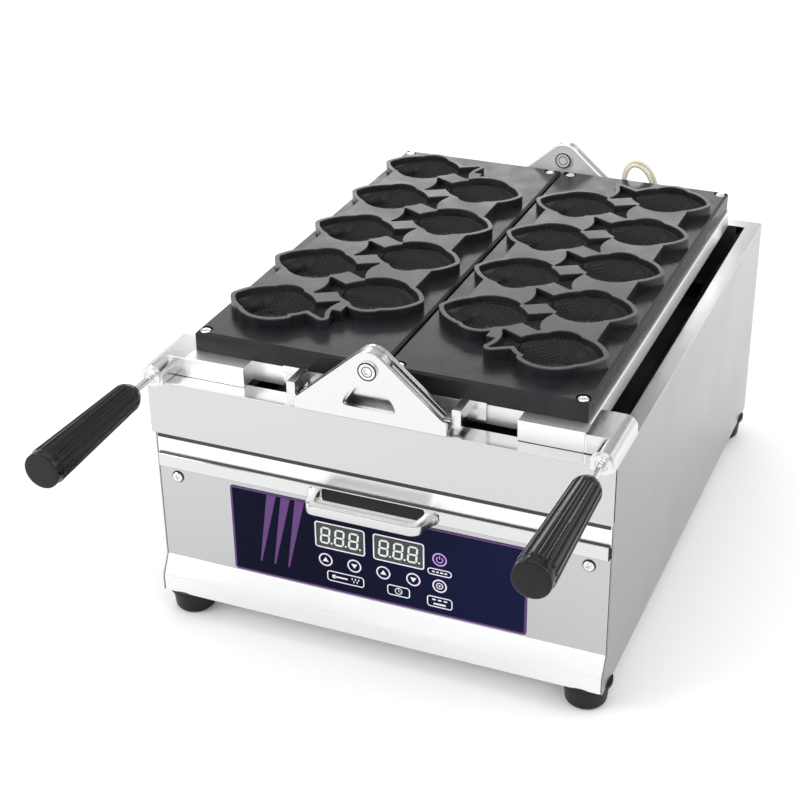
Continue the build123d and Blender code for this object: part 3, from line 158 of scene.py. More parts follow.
def write_mesh(name: str, points: np.ndarray, faces: np.ndarray, uv: Optional[np.ndarray] = None) -> bpy.types.Mesh:
    """Writes whole arrays of points and four-sided faces into a mesh.

    Args:
        name: the mesh's name.
        points: n by 3, in millimetres.
        faces: m by 4 point numbers, anticlockwise from outside.
        uv: n by 2 texture coordinates of the points, if the finish needs them.

    Returns:
        The mesh, smooth shaded.
    """
    mesh = bpy.data.meshes.new(name)
    mesh.vertices.add(len(points))
    mesh.vertices.foreach_set("co", (points * MM).astype(np.float32).ravel())
    mesh.loops.add(faces.size)
    mesh.loops.foreach_set("vertex_index", faces.astype(np.int32).ravel())
    mesh.polygons.add(len(faces))
    mesh.polygons.foreach_set("loop_start", np.arange(0, faces.size, 4, dtype=np.int32))
    mesh.polygons.foreach_set("use_smooth", np.ones(len(faces), dtype=bool))
    if uv is not None:
        layer = mesh.uv_layers.new(name="surface")
        layer.data.foreach_set("uv", uv[faces.ravel()].astype(np.float32).ravel())
    mesh.update(calc_edges=True)
    return mesh


def grid_faces(rows: int, columns: int, wrap_rows: bool = False, wrap_columns: bool = False) -> np.ndarray:
    """Numbers the faces of a grid of points whose rows run one after another.

    Args:
        rows: how many rows of points.
        columns: how many points in a row.
        wrap_rows: whether the last row joins the first.
        wrap_columns: whether the last column joins the first.

    Returns:
        m by 4 point numbers.
    """
    i = np.arange(rows if wrap_rows else rows - 1)[:, None]
    j = np.arange(columns if wrap_columns else columns - 1)[None, :]
    i2, j2 = (i + 1) % rows, (j + 1) % columns
    corners = (i * columns + j, i * columns + j2, i2 * columns + j2, i2 * columns + j)
    return np.stack([np.broadcast_to(c, (i.shape[0], j.shape[1])) for c in corners], axis=-1).reshape(-1, 4)


def gather(surfaces: Sequence[Surface]) -> Surface:
    """Puts several surfaces into one pair of arrays.

    Args:
        surfaces: pairs of points and faces.

    Returns:
        All points, and all faces renumbered.
    """
    starts = np.cumsum([0] + [len(points) for points, _ in surfaces[:-1]])
    faces = np.concatenate([faces + start for (_, faces), start in zip(surfaces, starts)])
    return np.concatenate([points for points, _ in surfaces]), faces


def loft(sections: np.ndarray, joined: bool = False) -> Surface:
    """Skins a row of closed cross-sections.

    Each end is drawn together to the mean of its last section, so the skin is closed; a joined row runs on from its
    last section to its first instead.

    Args:
        sections: sections by points by 3, in millimetres.
        joined: whether the last section joins the first.

    Returns:
        The points and faces.
    """
    columns = sections.shape[1]
    if not joined:
        middles = sections[[0, -1]].mean(axis=1)
        first, last = (np.repeat(middle[None, None], columns, axis=1) for middle in middles)
        sections = np.concatenate([first, sections, last])
    return sections.reshape(-1, 3), grid_faces(len(sections), columns, joined, True)


def circle(x: float, z: float, radius: float, points: int = 32) -> np.ndarray:
    """Draws a circle on the control panel.

    Args:
        x: its middle.
        z: its middle.
        radius: its radius in millimetres.
        points: how many points it has.

    Returns:
        n by 2 points.
    """
    turn = np.linspace(0, 2 * math.pi, points, endpoint=False)
    return np.stack([x + radius * np.cos(turn), z + radius * np.sin(turn)], axis=1)


def rounded_box(x: float, z: float, width: float, height: float, radius: float, steps: int = 6) -> np.ndarray:
    """Draws a box with round corners: a quarter circle about each corner's middle, one after another.

    Args:
        x: the box's middle.
        z: the box's middle.
        width: its width in millimetres.
        height: its height in millimetres.
        radius: its corners' radius.
        steps: how many points a corner has.

    Returns:
        n by 2 points.
    """
    corner = np.arange(4)[:, None]
    turn = corner * math.pi / 2 + np.linspace(0, math.pi / 2, steps)[None, :]
    side = np.array([1, -1, -1, 1])[:, None] * (width / 2 - radius)
    level = np.array([1, 1, -1, -1])[:, None] * (height / 2 - radius)
    return np.stack([x + side + radius * np.cos(turn), z + level + radius * np.sin(turn)], axis=2).reshape(-1, 2)


def raised(loop: np.ndarray, front: float, back: float) -> Surface:
    """Makes a thin solid of an outline that lies upright, facing the front.

    Args:
        loop: n by 2, the x and z of an outline that its middle sees all of.
        front: the y of the solid's face.
        back: the y of its back.

    Returns:
        The points and faces.
    """
    return loft(np.stack([np.insert(loop, 1, y, axis=1) for y in (back, front)]))


def stroke(path: np.ndarray, width: float, front: float, back: float, joined: bool = False) -> Surface:
    """Makes a thin solid line of even width: each point moves half the width along the path's normal, both ways.

    Args:
        path: n by 2, the x and z along the line.
        width: the line's width in millimetres.
        front: the y of its face.
        back: the y of its back.
        joined: whether the path's end joins its start.

    Returns:
        The points and faces.
    """
    ahead = np.roll(path, -1, axis=0) - np.roll(path, 1, axis=0) if joined else np.gradient(path, axis=0)
    aside = np.stack([-ahead[:, 1], ahead[:, 0]], axis=1) / np.linalg.norm(ahead, axis=1, keepdims=True)
    left, right = path + aside * width / 2, path - aside * width / 2
    rails = (left, front), (right, front), (right, back), (left, back)
    corners = [np.insert(line, 1, y, axis=1) for line, y in rails]
    return loft(np.stack(corners, axis=1), joined)


def pointed_bar(start: Sequence[float], end: Sequence[float], width: float) -> np.ndarray:
    """Draws a bar with pointed ends, the shape of one stroke of a digit.

    Args:
        start: the x and z of one point.
        end: the x and z of the other.
        width: the bar's width.

    Returns:
        6 by 2 points.
    """
    start, end = np.array(start, dtype=float), np.array(end, dtype=float)
    along = (end - start) / np.linalg.norm(end - start) * width / 2
    across = np.array([-along[1], along[0]])
    return np.stack([start, start + along + across, end - along + across, end, end - along - across,
                     start + along - across])


def turn_outwards(mesh: bpy.types.Mesh) -> None:
    """Merges doubled points and turns every closed shell's faces outwards.

    Args:
        mesh: the mesh, changed in place.
    """
    form = bmesh.new()
    form.from_mesh(mesh)
    bmesh.ops.remove_doubles(form, verts=form.verts, dist=CLOSE)
    bmesh.ops.dissolve_degenerate(form, edges=form.edges, dist=CLOSE)
    bmesh.ops.recalc_face_normals(form, faces=form.faces)
    form.to_mesh(mesh)
    form.free()


def place_piece(name: str, mesh: bpy.types.Mesh, material: bpy.types.Material, body: str) -> bpy.types.Object:
    """Puts a finished mesh into the scene as a piece that rides on a body.

    Args:
        name: the piece's name.
        mesh: its mesh, in place in the shared frame.
        material: its finish.
        body: the CAD body that carries it.

    Returns:
        The piece.
    """
    piece = bpy.data.objects.new(name, mesh)
    bpy.context.scene.collection.objects.link(piece)
    mesh.materials.clear()
    mesh.materials.append(material)
    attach(piece, body)
    LOG.info("%s: %d faces on %s", name, len(mesh.polygons), body)
    return piece


def skin_piece(
    name: str, surfaces: Sequence[Surface], material: bpy.types.Material, body: str, crease: Optional[float] = None
) -> bpy.types.Object:
    """Makes one piece of several closed surfaces.

    Args:
        name: the piece's name.
        surfaces: pairs of points and faces.
        material: the finish.
        body: the CAD body that carries the piece.
        crease: the turn between two faces, in degrees, above which their edge is crisp; none is if it isn't given.

    Returns:
        The piece.
    """
    mesh = write_mesh(name, *gather(surfaces))
    turn_outwards(mesh)
    if crease is not None:
        mesh.set_sharp_from_angle(angle=math.radians(crease))
    return place_piece(name, mesh, material, body)


def dress(material: bpy.types.Material, *nodes: str) -> None:
    """Gives CAD nodes a finish and leaves their shape alone.

    Args:
        material: the finish.
        nodes: the nodes' names.
    """
    for node in nodes:
        mesh = frame["nodes"][node].data
        mesh.materials.clear()
        mesh.materials.append(material)


def room_for_edge(sharp: bmesh.types.BMEdge, edge: float, share: float = 0.42) -> float:
    """Finds how much of a rounded edge's width its neighbours leave room for.

    It is a share of the shortest edge that meets this one on its two faces, over the width.

    Args:
        sharp: the edge.
        edge: the full width in metres.
        share: the share of that neighbour's length that the rounding may take.

    Returns:
        The part of the width to use, 0 to 1.
    """
    beside = {side for face in sharp.link_faces for side in face.edges}
    lengths = [side.calc_length() for corner in sharp.verts for side in corner.link_edges
               if side is not sharp and side in beside]
    return min(1.0, share * min(lengths, default=edge) / edge)


def folds_over(mesh: bpy.types.Mesh, share: float = 1.03, extra: float = 5e-6) -> bool:
    """Tells whether a face's triangles cover clearly more than the face, as they do where it crosses itself.

    Args:
        mesh: the mesh.
        share: how many times the face's area its triangles may cover.
        extra: how many square metres they may cover beyond that.

    Returns:
        Whether any face does.
    """
    mesh.calc_loop_triangles()
    pieces, whose = np.zeros(len(mesh.loop_triangles)), np.zeros(len(mesh.loop_triangles), dtype=np.int32)
    area = np.zeros(len(mesh.polygons))
    mesh.loop_triangles.foreach_get("area", pieces)
    mesh.loop_triangles.foreach_get("polygon_index", whose)
    mesh.polygons.foreach_get("area", area)
    return bool((np.bincount(whose, pieces, len(area)) > share * area + extra).any())


def weigh_normals(mesh: bpy.types.Mesh, fan: float = 24.0, least: float = 1e-14) -> None:
    """Sets every corner's normal to the mean of the faces that meet there, weighted by their areas.

    Only faces that turn by less than the fan from the corner's own face count, so flat faces shade flat and what
    stays sharp is crisp. Each corner is paired with every corner at its vertex: the corners are sorted by vertex, and
    a corner's partners are the run of its vertex in that order.

    Args:
        mesh: the mesh, changed in place.
        fan: the largest turn between two faces that shade as one, in degrees.
        least: the weighted area in square metres under which a corner's normal points up.
    """
    corners, faces = len(mesh.loops), len(mesh.polygons)
    vertex, sides = np.zeros(corners, dtype=np.int32), np.zeros(faces, dtype=np.int32)
    normal, area = np.zeros(faces * 3), np.zeros(faces)
    mesh.loops.foreach_get("vertex_index", vertex)
    mesh.polygons.foreach_get("loop_total", sides)
    mesh.polygons.foreach_get("normal", normal)
    mesh.polygons.foreach_get("area", area)
    normal = normal.reshape(-1, 3)
    face = np.repeat(np.arange(faces), sides)
    order = np.argsort(vertex, kind="stable")
    valence = np.bincount(vertex, minlength=len(mesh.vertices))
    first = np.cumsum(valence) - valence
    many = valence[vertex]
    own = np.repeat(np.arange(corners), many)
    step = np.arange(len(own)) - np.repeat(np.cumsum(many) - many, many)
    other = order[first[vertex[own]] + step]
    near = np.einsum("ij,ij->i", normal[face[own]], normal[face[other]]) > math.cos(math.radians(fan))
    pull = (normal * area[:, None])[face[other]] * near[:, None]
    total = np.stack([np.bincount(own, pull[:, axis], corners) for axis in range(3)], axis=1)
    size = np.linalg.norm(total, axis=1, keepdims=True)
    total = np.where(size > least, total / np.maximum(size, least), (0.0, 0.0, 1.0))
    mesh.normals_split_custom_set(total.tolist())


def copy_with_weights(node: str, edge: float, crease: float, shortest: float, flat: float = 0.6) -> bpy.types.Mesh:
    """Copies a CAD node's mesh and weighs the edges that are to be rounded.

    Doubled points are merged and flat faces joined. Each edge whose faces turn by more than the crease gets the
    weight that its neighbours leave room for, if it is long enough.

    Args:
        node: the node's name.
        edge: the width of the rounded edge in millimetres.
        crease: the least turn between two faces, in degrees, that counts as a sharp edge.
        shortest: the length in millimetres under which a sharp edge stays sharp.
        flat: the turn in degrees up to which two faces count as one flat face.

    Returns:
        The copy.
    """
    form = bmesh.new()
    form.from_mesh(frame["nodes"][node].data)
    bmesh.ops.remove_doubles(form, verts=form.verts, dist=2 * CLOSE)
    bmesh.ops.dissolve_limit(form, angle_limit=math.radians(flat), verts=form.verts, edges=form.edges)
    for face in form.faces:
        face.smooth = True
    weight = form.edges.layers.float.new("bevel_weight_edge")
    for sharp in form.edges:
        turned = sharp.calc_face_angle(0.0) > math.radians(crease)
        if turned and sharp.calc_length() > shortest * MM:
            sharp[weight] = room_for_edge(sharp, edge * MM)
    mesh = bpy.data.meshes.new(node + "_dressed")
    form.to_mesh(mesh)
    form.free()
    return mesh


def round_edges(piece: bpy.types.Object, edge: float, tries: Sequence[float] = (1.0, 0.7, 0.45, 0.25)) -> None:
    """Applies a bevel to a piece's weighed edges, narrower if a face would fold over itself, or none if all do.

    Args:
        piece: the piece.
        edge: the full width of the rounded edge in millimetres.
        tries: the shares of that width, widest first.
    """
    bevel = piece.modifiers.new("edge_radius", "BEVEL")
    bevel.segments = 2
    bevel.limit_method = "WEIGHT"
    bevel.use_clamp_overlap = False
    bevel.miter_outer = "MITER_ARC"
    for share in tries:
        bevel.width = edge * share * MM
        bpy.context.view_layer.update()
        beveled = bpy.data.meshes.new_from_object(piece.evaluated_get(bpy.context.evaluated_depsgraph_get()))
        if not folds_over(beveled):
            LOG.info("%s: edges of %.2f mm", piece.name, edge * share)
            piece.data = beveled
            break
    piece.modifiers.clear()


def soften(
    material: bpy.types.Material, edge: float, *nodes: str, crease: float = 35.0, shortest: float = 0.0,
    reshape: Optional[Callable[[np.ndarray], np.ndarray]] = None
) -> None:
    """Replaces CAD nodes by copies of themselves whose sharp edges have a small radius.

    Args:
        material: the finish.
        edge: the width of the rounded edge in millimetres.
        nodes: the nodes' names.
        crease: the least turn between two faces, in degrees, that counts as a sharp edge.
        shortest: the length in millimetres under which a sharp edge stays sharp.
        reshape: turns the copy's points, in millimetres, into its final ones.
    """
    for node in nodes:
        mesh = copy_with_weights(node, edge, crease, shortest)
        if reshape is not None:
            points = np.zeros(len(mesh.vertices) * 3)
            mesh.vertices.foreach_get("co", points)
            mesh.vertices.foreach_set("co", (reshape(points.reshape(-1, 3) / MM) * MM).ravel())
            mesh.update()
        piece = place_piece(node + "_dressed", mesh, material, BODY_OF[node])
        round_edges(piece, edge)
        weigh_normals(piece.data)
        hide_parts(node)


# ------------------------------------------------------------------ finishes
def start_finish(name: str, **constants: Socket) -> tuple[bpy.types.Material, bpy.types.NodeTree, bpy.types.Node]:
    """Starts a finish: an empty material with its surface shader.

    Args:
        name: the material's name.
        constants: values of the shader's sockets, with underscores for spaces.

    Returns:
        The material, its tree and its surface shader.
    """
    material = bpy.data.materials.new(name)
    material.use_nodes = True
    tree = material.node_tree
    tree.nodes.clear()
    shader = add_node(tree, "BsdfPrincipled", {key.replace("_", " "): value for key, value in constants.items()})
    add_node(tree, "OutputMaterial", {"Surface": shader.outputs["BSDF"]})
    return material, tree, shader


def speckle(tree: bpy.types.NodeTree, size: Sequence[float], detail: float = 2.0) -> bpy.types.NodeSocket:
    """Adds a cloudy pattern on the object's own coordinates.

    Args:
        tree: the material's tree.
        size: the blotch size along x, y and z in millimetres.
        detail: how many finer layers it has.

    Returns:
        The pattern's height, 0 to 1.
    """
    place = add_node(tree, "TexCoord")
    scale = tuple(1 / (s * MM) for s in size)
    mapped = add_node(tree, "Mapping", {"Vector": place.outputs["Object"], "Scale": scale})
    return add_node(tree, "TexNoise", {"Vector": mapped.outputs["Vector"], "Scale": 1.0, "Detail": detail}).outputs[0]


def spread(tree: bpy.types.NodeTree, height: bpy.types.NodeSocket, low: float, high: float) -> bpy.types.NodeSocket:
    """Stretches the middle of a pattern's heights over a range of values.

    Args:
        tree: the material's tree.
        height: the pattern.
        low: the value at a height of 0.3.
        high: the value at a height of 0.7.

    Returns:
        The values.
    """
    inputs = {"Value": height, "From Min": 0.3, "From Max": 0.7, "To Min": low, "To Max": high}
    return add_node(tree, "MapRange", inputs).outputs["Result"]


def raise_grain(
    tree: bpy.types.NodeTree, shader: bpy.types.Node, height: bpy.types.NodeSocket, depth: float, strength: float = 1.0
) -> None:
    """Lets a pattern show as relief.

    Args:
        tree: the material's tree.
        shader: the surface shader.
        height: the pattern.
        depth: the relief's height in millimetres.
        strength: how strongly it turns the light, 0 to 1.
    """
    bump = add_node(tree, "Bump", {"Height": height, "Distance": depth * MM, "Strength": strength})
    tree.links.new(bump.outputs["Normal"], shader.inputs["Normal"])


def mix_colours(
    tree: bpy.types.NodeTree, factor: bpy.types.NodeSocket, first: Socket, second: Socket
) -> bpy.types.NodeSocket:
    """Mixes two colours.

    Args:
        tree: the node tree.
        factor: the share of the second colour, 0 to 1.
        first: one colour, or another node's output.
        second: the other.

    Returns:
        The mixed colour.
    """
    return add_node(tree, "Mix", {"Factor": factor, FIRST: first, SECOND: second}, data_type="RGBA").outputs[MIXED]


def calculate(tree: bpy.types.NodeTree, operation: str, *values: Socket) -> bpy.types.NodeSocket:
    """Adds one step of arithmetic.

    Args:
        tree: the material's tree.
        operation: the step's name in Blender.
        values: what it works on.

    Returns:
        The result.
    """
    return add_node(tree, "Math", dict(enumerate(values)), operation=operation).outputs[0]


def axes_of(tree: bpy.types.NodeTree, space: str = "Object") -> bpy.types.NodeOutputs:
    """Splits a point's place into its three coordinates.

    Args:
        tree: the node tree.
        space: which coordinates: the object's own, or the room's direction.

    Returns:
        The outputs X, Y and Z.
    """
    return add_node(tree, "SeparateXYZ", {0: add_node(tree, "TexCoord").outputs[space]}).outputs


class Grain(Enum):
    """The way that polishing lines run on a sheet; the value is the axis number."""

    ACROSS = 0
    DEEP = 1


@dataclass(frozen=True)
class BuffedStainless:
    """Stainless sheet, ground in one direction and buffed.

    To the eye it is a bright grey mirror gone a little soft, whose highlights stretch across faint parallel lines,
    with weak clouds where hands and cloths have been. The real lines are 0.05 mm apart; they are drawn wider so
    that they show.
    """

    name: str = "stainless_sheet_buffed"
    colour: str = "#c6c7c8"
    roughness: float = 0.17
    spread: float = 0.05
    line_spacing: float = 0.9
    line_length: float = 90.0
    cloud_size: float = 80.0
    grain: Grain = Grain.ACROSS
    line_depth: float = 0.002
    line_strength: float = 0.4

    def material(self) -> bpy.types.Material:
        """Makes the finish.

        Returns:
            The material.
        """
        material, tree, shader = start_finish(self.name, Metallic=1.0, Base_Color=linear(self.colour))
        size = [self.line_spacing] * 3
        size[self.grain.value] = self.line_length
        lines = speckle(tree, size, 3.0)
        clouds = speckle(tree, [self.cloud_size] * 3)
        mean = calculate(tree, "MULTIPLY", calculate(tree, "ADD", lines, clouds), 0.5)
        rough = spread(tree, mean, self.roughness - self.spread, self.roughness + self.spread)
        tree.links.new(rough, shader.inputs["Roughness"])
        raise_grain(tree, shader, lines, self.line_depth, self.line_strength)
        return material


@dataclass(frozen=True)
class CastStainless:
    """Investment-cast stainless steel, belt-ground and polished.

    To the eye it is bright, with soft highlights that wander a little, because a casting is never quite flat.
    """

    name: str = "stainless_casting_polished"
    colour: str = "#dcdcdb"
    roughness: float = 0.2
    wave_size: float = 14.0
    wave_depth: float = 0.06
    metallic: float = 1.0
    wave_strength: float = 0.6
    mark_size: tuple[float, float, float] = (0.8, 6.0, 6.0)
    smoother: float = 0.05
    rougher: float = 0.07

    def material(self) -> bpy.types.Material:
        """Makes the finish.

        Returns:
            The material.
        """
        material, tree, shader = start_finish(self.name, Metallic=self.metallic, Base_Color=linear(self.colour))
        waves = speckle(tree, [self.wave_size] * 3, 1.0)
        marks = speckle(tree, self.mark_size, 3.0)
        rough = spread(tree, marks, self.roughness - self.smoother, self.roughness + self.rougher)
        tree.links.new(rough, shader.inputs["Roughness"])
        raise_grain(tree, shader, waves, self.wave_depth, self.wave_strength)
        return material


@dataclass(frozen=True)
class NonstickCasting:
    """Cast aluminium under a sprayed black non-stick coating.

    To the eye it is near black with a soft sheen, lighter where light grazes it, over a fine orange-peel grain. The
    block's top lands are painted a lighter grey: a painted sheen where light falls on them.
    """

    name: str = "cast_aluminium_nonstick_coated"
    colour: str = "#191a1c"
    worn_colour: str = "#252629"
    top_sheen_colour: str = "#3c3d40"
    sheen_top_height: float = 273.9
    sheen_band_depth: float = 0.4
    specular: float = 0.22
    roughness: float = 0.28
    smoother: float = 0.04
    rougher: float = 0.08
    grain_size: float = 1.3
    grain_depth: float = 0.07
    grain_strength: float = 0.35
    blotch_size: float = 26.0

    def material(self) -> bpy.types.Material:
        """Makes the finish.

        Returns:
            The material.
        """
        material, tree, shader = start_finish(self.name, Specular_IOR_Level=self.specular)
        grain = speckle(tree, [self.grain_size] * 3)
        blotch = speckle(tree, [self.blotch_size] * 3, 3.0)
        coat = mix_colours(tree, spread(tree, blotch, 0.0, 1.0), linear(self.colour), linear(self.worn_colour))
        # Painted sheen: from a little below the top height upwards the coat turns a lighter grey.
        top = add_node(tree, "MapRange", {
            "Value": axes_of(tree)["Z"], "From Min": (self.sheen_top_height - self.sheen_band_depth) * MM,
            "From Max": self.sheen_top_height * MM})
        sheen_coat = mix_colours(tree, top.outputs["Result"], coat, linear(self.top_sheen_colour))
        tree.links.new(sheen_coat, shader.inputs["Base Color"])
        rough = spread(tree, blotch, self.roughness - self.smoother, self.roughness + self.rougher)
        tree.links.new(rough, shader.inputs["Roughness"])
        raise_grain(tree, shader, grain, self.grain_depth, self.grain_strength)
        return material


@dataclass(frozen=True)
class Moulded:
    """A moulded plastic, resin or rubber with a fine skin.

    To the eye it is one even colour that is a shade cloudy, with a grain that breaks up its highlight.
    """

    name: str
    colour: str
    cloudy_colour: str
    roughness: float
    grain_size: float = 0.8
    grain_depth: float = 0.02
    cloud_size: float = 18.0
    metallic: float = 0.0
    specular: float = 0.5
    smoother: float = 0.03
    rougher: float = 0.04
    grain_strength: float = 0.4

    def material(self) -> bpy.types.Material:
        """Makes the finish.

        Returns:
            The material.
        """
        material, tree, shader = start_finish(self.name, Metallic=self.metallic, Specular_IOR_Level=self.specular)
        grain = speckle(tree, [self.grain_size] * 3)
        clouds = spread(tree, speckle(tree, [self.cloud_size] * 3, 3.0), 0.0, 1.0)
        colour = mix_colours(tree, clouds, linear(self.colour), linear(self.cloudy_colour))
        tree.links.new(colour, shader.inputs["Base Color"])
        rough = spread(tree, grain, self.roughness - self.smoother, self.roughness + self.rougher)
        tree.links.new(rough, shader.inputs["Roughness"])
        raise_grain(tree, shader, grain, self.grain_depth, self.grain_strength)
        return material


@dataclass(frozen=True)
class PrintedFilm:
    """Polyester film printed from behind in deep blue that turns lighter to the right.

    To the eye it is a smooth semi-gloss skin over an even dark colour, with the faint grain of a textured film.
    """

    name: str = "printed_polyester_film"
    dark: str = "#040720"
    light: str = "#0d1334"
    roughness: float = 0.3
    uneven: float = 0.03
    specular: float = 0.06
    grain_size: float = 0.5
    grain_depth: float = 0.005
    grain_strength: float = 0.3
    turn_from: float = -66.0
    turn_to: float = 132.0

    def material(self) -> bpy.types.Material:
        """Makes the finish.

        Returns:
            The material.
        """
        material, tree, shader = start_finish(self.name, Specular_IOR_Level=self.specular)
        reach = {"Value": axes_of(tree)["X"], "From Min": self.turn_from * MM, "From Max": self.turn_to * MM}
        across = add_node(tree, "MapRange", reach, interpolation_type="SMOOTHSTEP")
        colour = mix_colours(tree, across.outputs["Result"], linear(self.dark), linear(self.light))
        tree.links.new(colour, shader.inputs["Base Color"])
        grain = speckle(tree, [self.grain_size] * 3)
        rough = spread(tree, grain, self.roughness - self.uneven, self.roughness + self.uneven)
        tree.links.new(rough, shader.inputs["Roughness"])
        raise_grain(tree, shader, grain, self.grain_depth, self.grain_strength)
        return material


@dataclass(frozen=True)
class ScreenInk:
    """Screen-printed ink under the film.

    To the eye it is a flat opaque colour with the slight unevenness of a print.
    """

    name: str
    colour: str
    thin_colour: str
    roughness: float = 0.3
    print_grain: float = 1.5
    thinnest: float = 0.6

    def material(self) -> bpy.types.Material:
        """Makes the finish.

        Returns:
            The material.
        """
        material, tree, shader = start_finish(self.name, Roughness=self.roughness)
        thin = spread(tree, speckle(tree, [self.print_grain] * 3, 3.0), 0.0, self.thinnest)
        colour = mix_colours(tree, thin, linear(self.colour), linear(self.thin_colour))
        tree.links.new(colour, shader.inputs["Base Color"])
        return material


@dataclass(frozen=True)
class GlassFibreSleeve:
    """Braided glass-fibre sleeving, impregnated with varnish.

    To the eye it is a cream tube with a fine basket weave, a little yellow from heat.
    """

    name: str = "glass_fibre_sleeving_braided"
    colour: str = "#f1ecdc"
    hollow_shade_colour: str = "#cfc6ab"
    strands_round: float = 14.0
    strands_along: float = 60.0
    roughness: float = 0.55
    weave_depth: float = 0.15
    weave_strength: float = 0.8

    def material(self) -> bpy.types.Material:
        """Makes the finish: two sets of slanting ribs multiplied into a braid, on the sleeve's own UV.

        Returns:
            The material.
        """
        material, tree, shader = start_finish(self.name, Roughness=self.roughness)
        place = add_node(tree, "UVMap", uv_map="surface")
        axes = add_node(tree, "SeparateXYZ", {0: place.outputs["UV"]}).outputs
        around = calculate(tree, "MULTIPLY", axes["Y"], self.strands_round)
        ribs = []
        for lean in (1.0, -1.0):
            along = calculate(tree, "MULTIPLY", axes["X"], self.strands_along * lean)
            phase = calculate(tree, "MULTIPLY", calculate(tree, "ADD", along, around), 2 * math.pi)
            ribs.append(calculate(tree, "SINE", phase))
        weave = calculate(tree, "MULTIPLY", *ribs)
        height = add_node(tree, "MapRange", {"Value": weave, "From Min": -1.0, "From Max": 1.0}).outputs["Result"]
        # Painted shade: the weave's hollows take the darker colour, its crowns the cream.
        colour = mix_colours(tree, height, linear(self.hollow_shade_colour), linear(self.colour))
        tree.links.new(colour, shader.inputs["Base Color"])
        raise_grain(tree, shader, height, self.weave_depth, self.weave_strength)
        return material


Finish = Union[BuffedStainless, CastStainless, NonstickCasting, Moulded, PrintedFilm, ScreenInk, GlassFibreSleeve]


def made(finish: Finish) -> bpy.types.Material:
    """Has a finish's material made when the set of finishes is.

    Args:
        finish: the finish.

    Returns:
        The field of the set that holds the material.
    """
    return field(default_factory=finish.material)


@dataclass
class Finishes:
    """Every finish of the machine, made once."""

    sheet: bpy.types.Material = made(BuffedStainless())
    tray_sheet: bpy.types.Material = made(BuffedStainless("stainless_base_tray_buffed", "#ececec", 0.2))
    # Painted shade: the lower front panel is a darker copy of the buffed sheet, standing in for the shaded floor it
    # reflects.
    shaded_panel_sheet: bpy.types.Material = made(BuffedStainless("stainless_front_panel_painted_shade", "#bcbdbe", 0.2))
    # Painted light: the strip under the apron is a lighter copy of the buffed sheet, brighter than its shade there
    # would leave it.
    lit_strip_sheet: bpy.types.Material = made(BuffedStainless("stainless_front_strip_painted_light", "#efefef", 0.34))
    # Painted shadow: a dark finish for the band under the apron and the line round the drawer's bar.
    shadow_band: bpy.types.Material = made(Moulded("painted_shadow_band", "#26272a", "#303134", 0.42, 1.2, 0.02))
    # Painted shade: the side panels are a darker copy of the buffed sheet, standing in for the darker floor they
    # reflect.
    shaded_side_sheet: bpy.types.Material = made(BuffedStainless(
        "stainless_side_sheet_painted_shade", "#999a9c", 0.24, grain=Grain.DEEP))
    mirror_sheet: bpy.types.Material = made(BuffedStainless("stainless_drawer_front_buffed", "#d4d4d4", 0.09, 0.03))
    frame_sheet: bpy.types.Material = made(BuffedStainless(
        "stainless_frame_sheet_satin", "#f2f2f1", 0.42, grain=Grain.DEEP))
    inner_sheet: bpy.types.Material = made(BuffedStainless("stainless_inner_sheet_mill", "#7d7d7c", 0.42, 0.08))
    casting: bpy.types.Material = made(CastStainless())
    blasted: bpy.types.Material = made(CastStainless("stainless_casting_bead_blasted", "#efefee", 0.55, 9.0, 0.03, 0.6))
    bright: bpy.types.Material = made(CastStainless("stainless_bar_turned", "#e0e0df", 0.14, 30.0, 0.02))
    strap: bpy.types.Material = made(BuffedStainless("stainless_strap_polished", "#cfcfcf", 0.2, 0.04, 0.8, 60.0))
    nonstick: bpy.types.Material = made(NonstickCasting())
    # Painted shade: the relief in the pockets is a darker copy of the coating.
    cavity: bpy.types.Material = made(NonstickCasting(
        "cast_aluminium_nonstick_painted_shade", "#070708", "#101113", roughness=0.26, grain_size=1.2, grain_depth=0.1,
        blotch_size=12.0))
    # Painted shade: a dark finish for the rings round the panel screws' heads and on the pivot bolts' ends.
    socket: bpy.types.Material = made(Moulded("painted_shade_dark_ring", "#1c1c1d", "#2a2a2b", 0.4, 0.6, 0.01, 6.0, 0.6))
    bakelite: bpy.types.Material = made(Moulded(
        "bakelite_moulded_glossy", "#070809", "#0e0f10", 0.15, 3.0, 0.002, specular=0.3))
    rubber: bpy.types.Material = made(Moulded(
        "nitrile_rubber_moulded", "#0c0c0c", "#151514", 0.45, 0.9, 0.03, specular=0.28))
    film: bpy.types.Material = made(PrintedFilm())
    window: bpy.types.Material = made(Moulded("acrylic_window_smoked", "#262a28", "#303532", 0.15, 4.0, 0.002))
    white_ink: bpy.types.Material = made(ScreenInk("screen_ink_white", "#eeeaf3", "#c9c4d4"))
    purple_ink: bpy.types.Material = made(ScreenInk("screen_ink_purple", "#56246f", "#471c5e"))
    lilac_ink: bpy.types.Material = made(ScreenInk("screen_ink_lilac", "#e2d9ea", "#c8b8d8"))
    violet_ink: bpy.types.Material = made(ScreenInk("screen_ink_violet", "#c294dc", "#a273c0"))
    segments: bpy.types.Material = made(ScreenInk("led_segment_epoxy", "#dfe3df", "#bfc6c0", 0.35))
    black_nylon: bpy.types.Material = made(Moulded("nylon_moulded_black", "#1b1b1c", "#262627", 0.45, 0.6, 0.02))
    grey_nylon: bpy.types.Material = made(Moulded("nylon_moulded_grey", "#b9b9b4", "#a6a6a0", 0.5, 0.6, 0.02))
    board: bpy.types.Material = made(Moulded("circuit_board_solder_mask", "#1d5a34", "#174a2a", 0.35, 1.2, 0.02))
    aluminium: bpy.types.Material = made(BuffedStainless(
        "aluminium_extruded_mill", "#c9cacc", 0.35, 0.06, 0.7, 120.0, grain=Grain.DEEP))
    blanket: bpy.types.Material = made(Moulded("ceramic_fibre_blanket", "#e6e3d8", "#cfcabb", 0.9, 2.4, 0.5))
    sleeve: bpy.types.Material = made(GlassFibreSleeve())


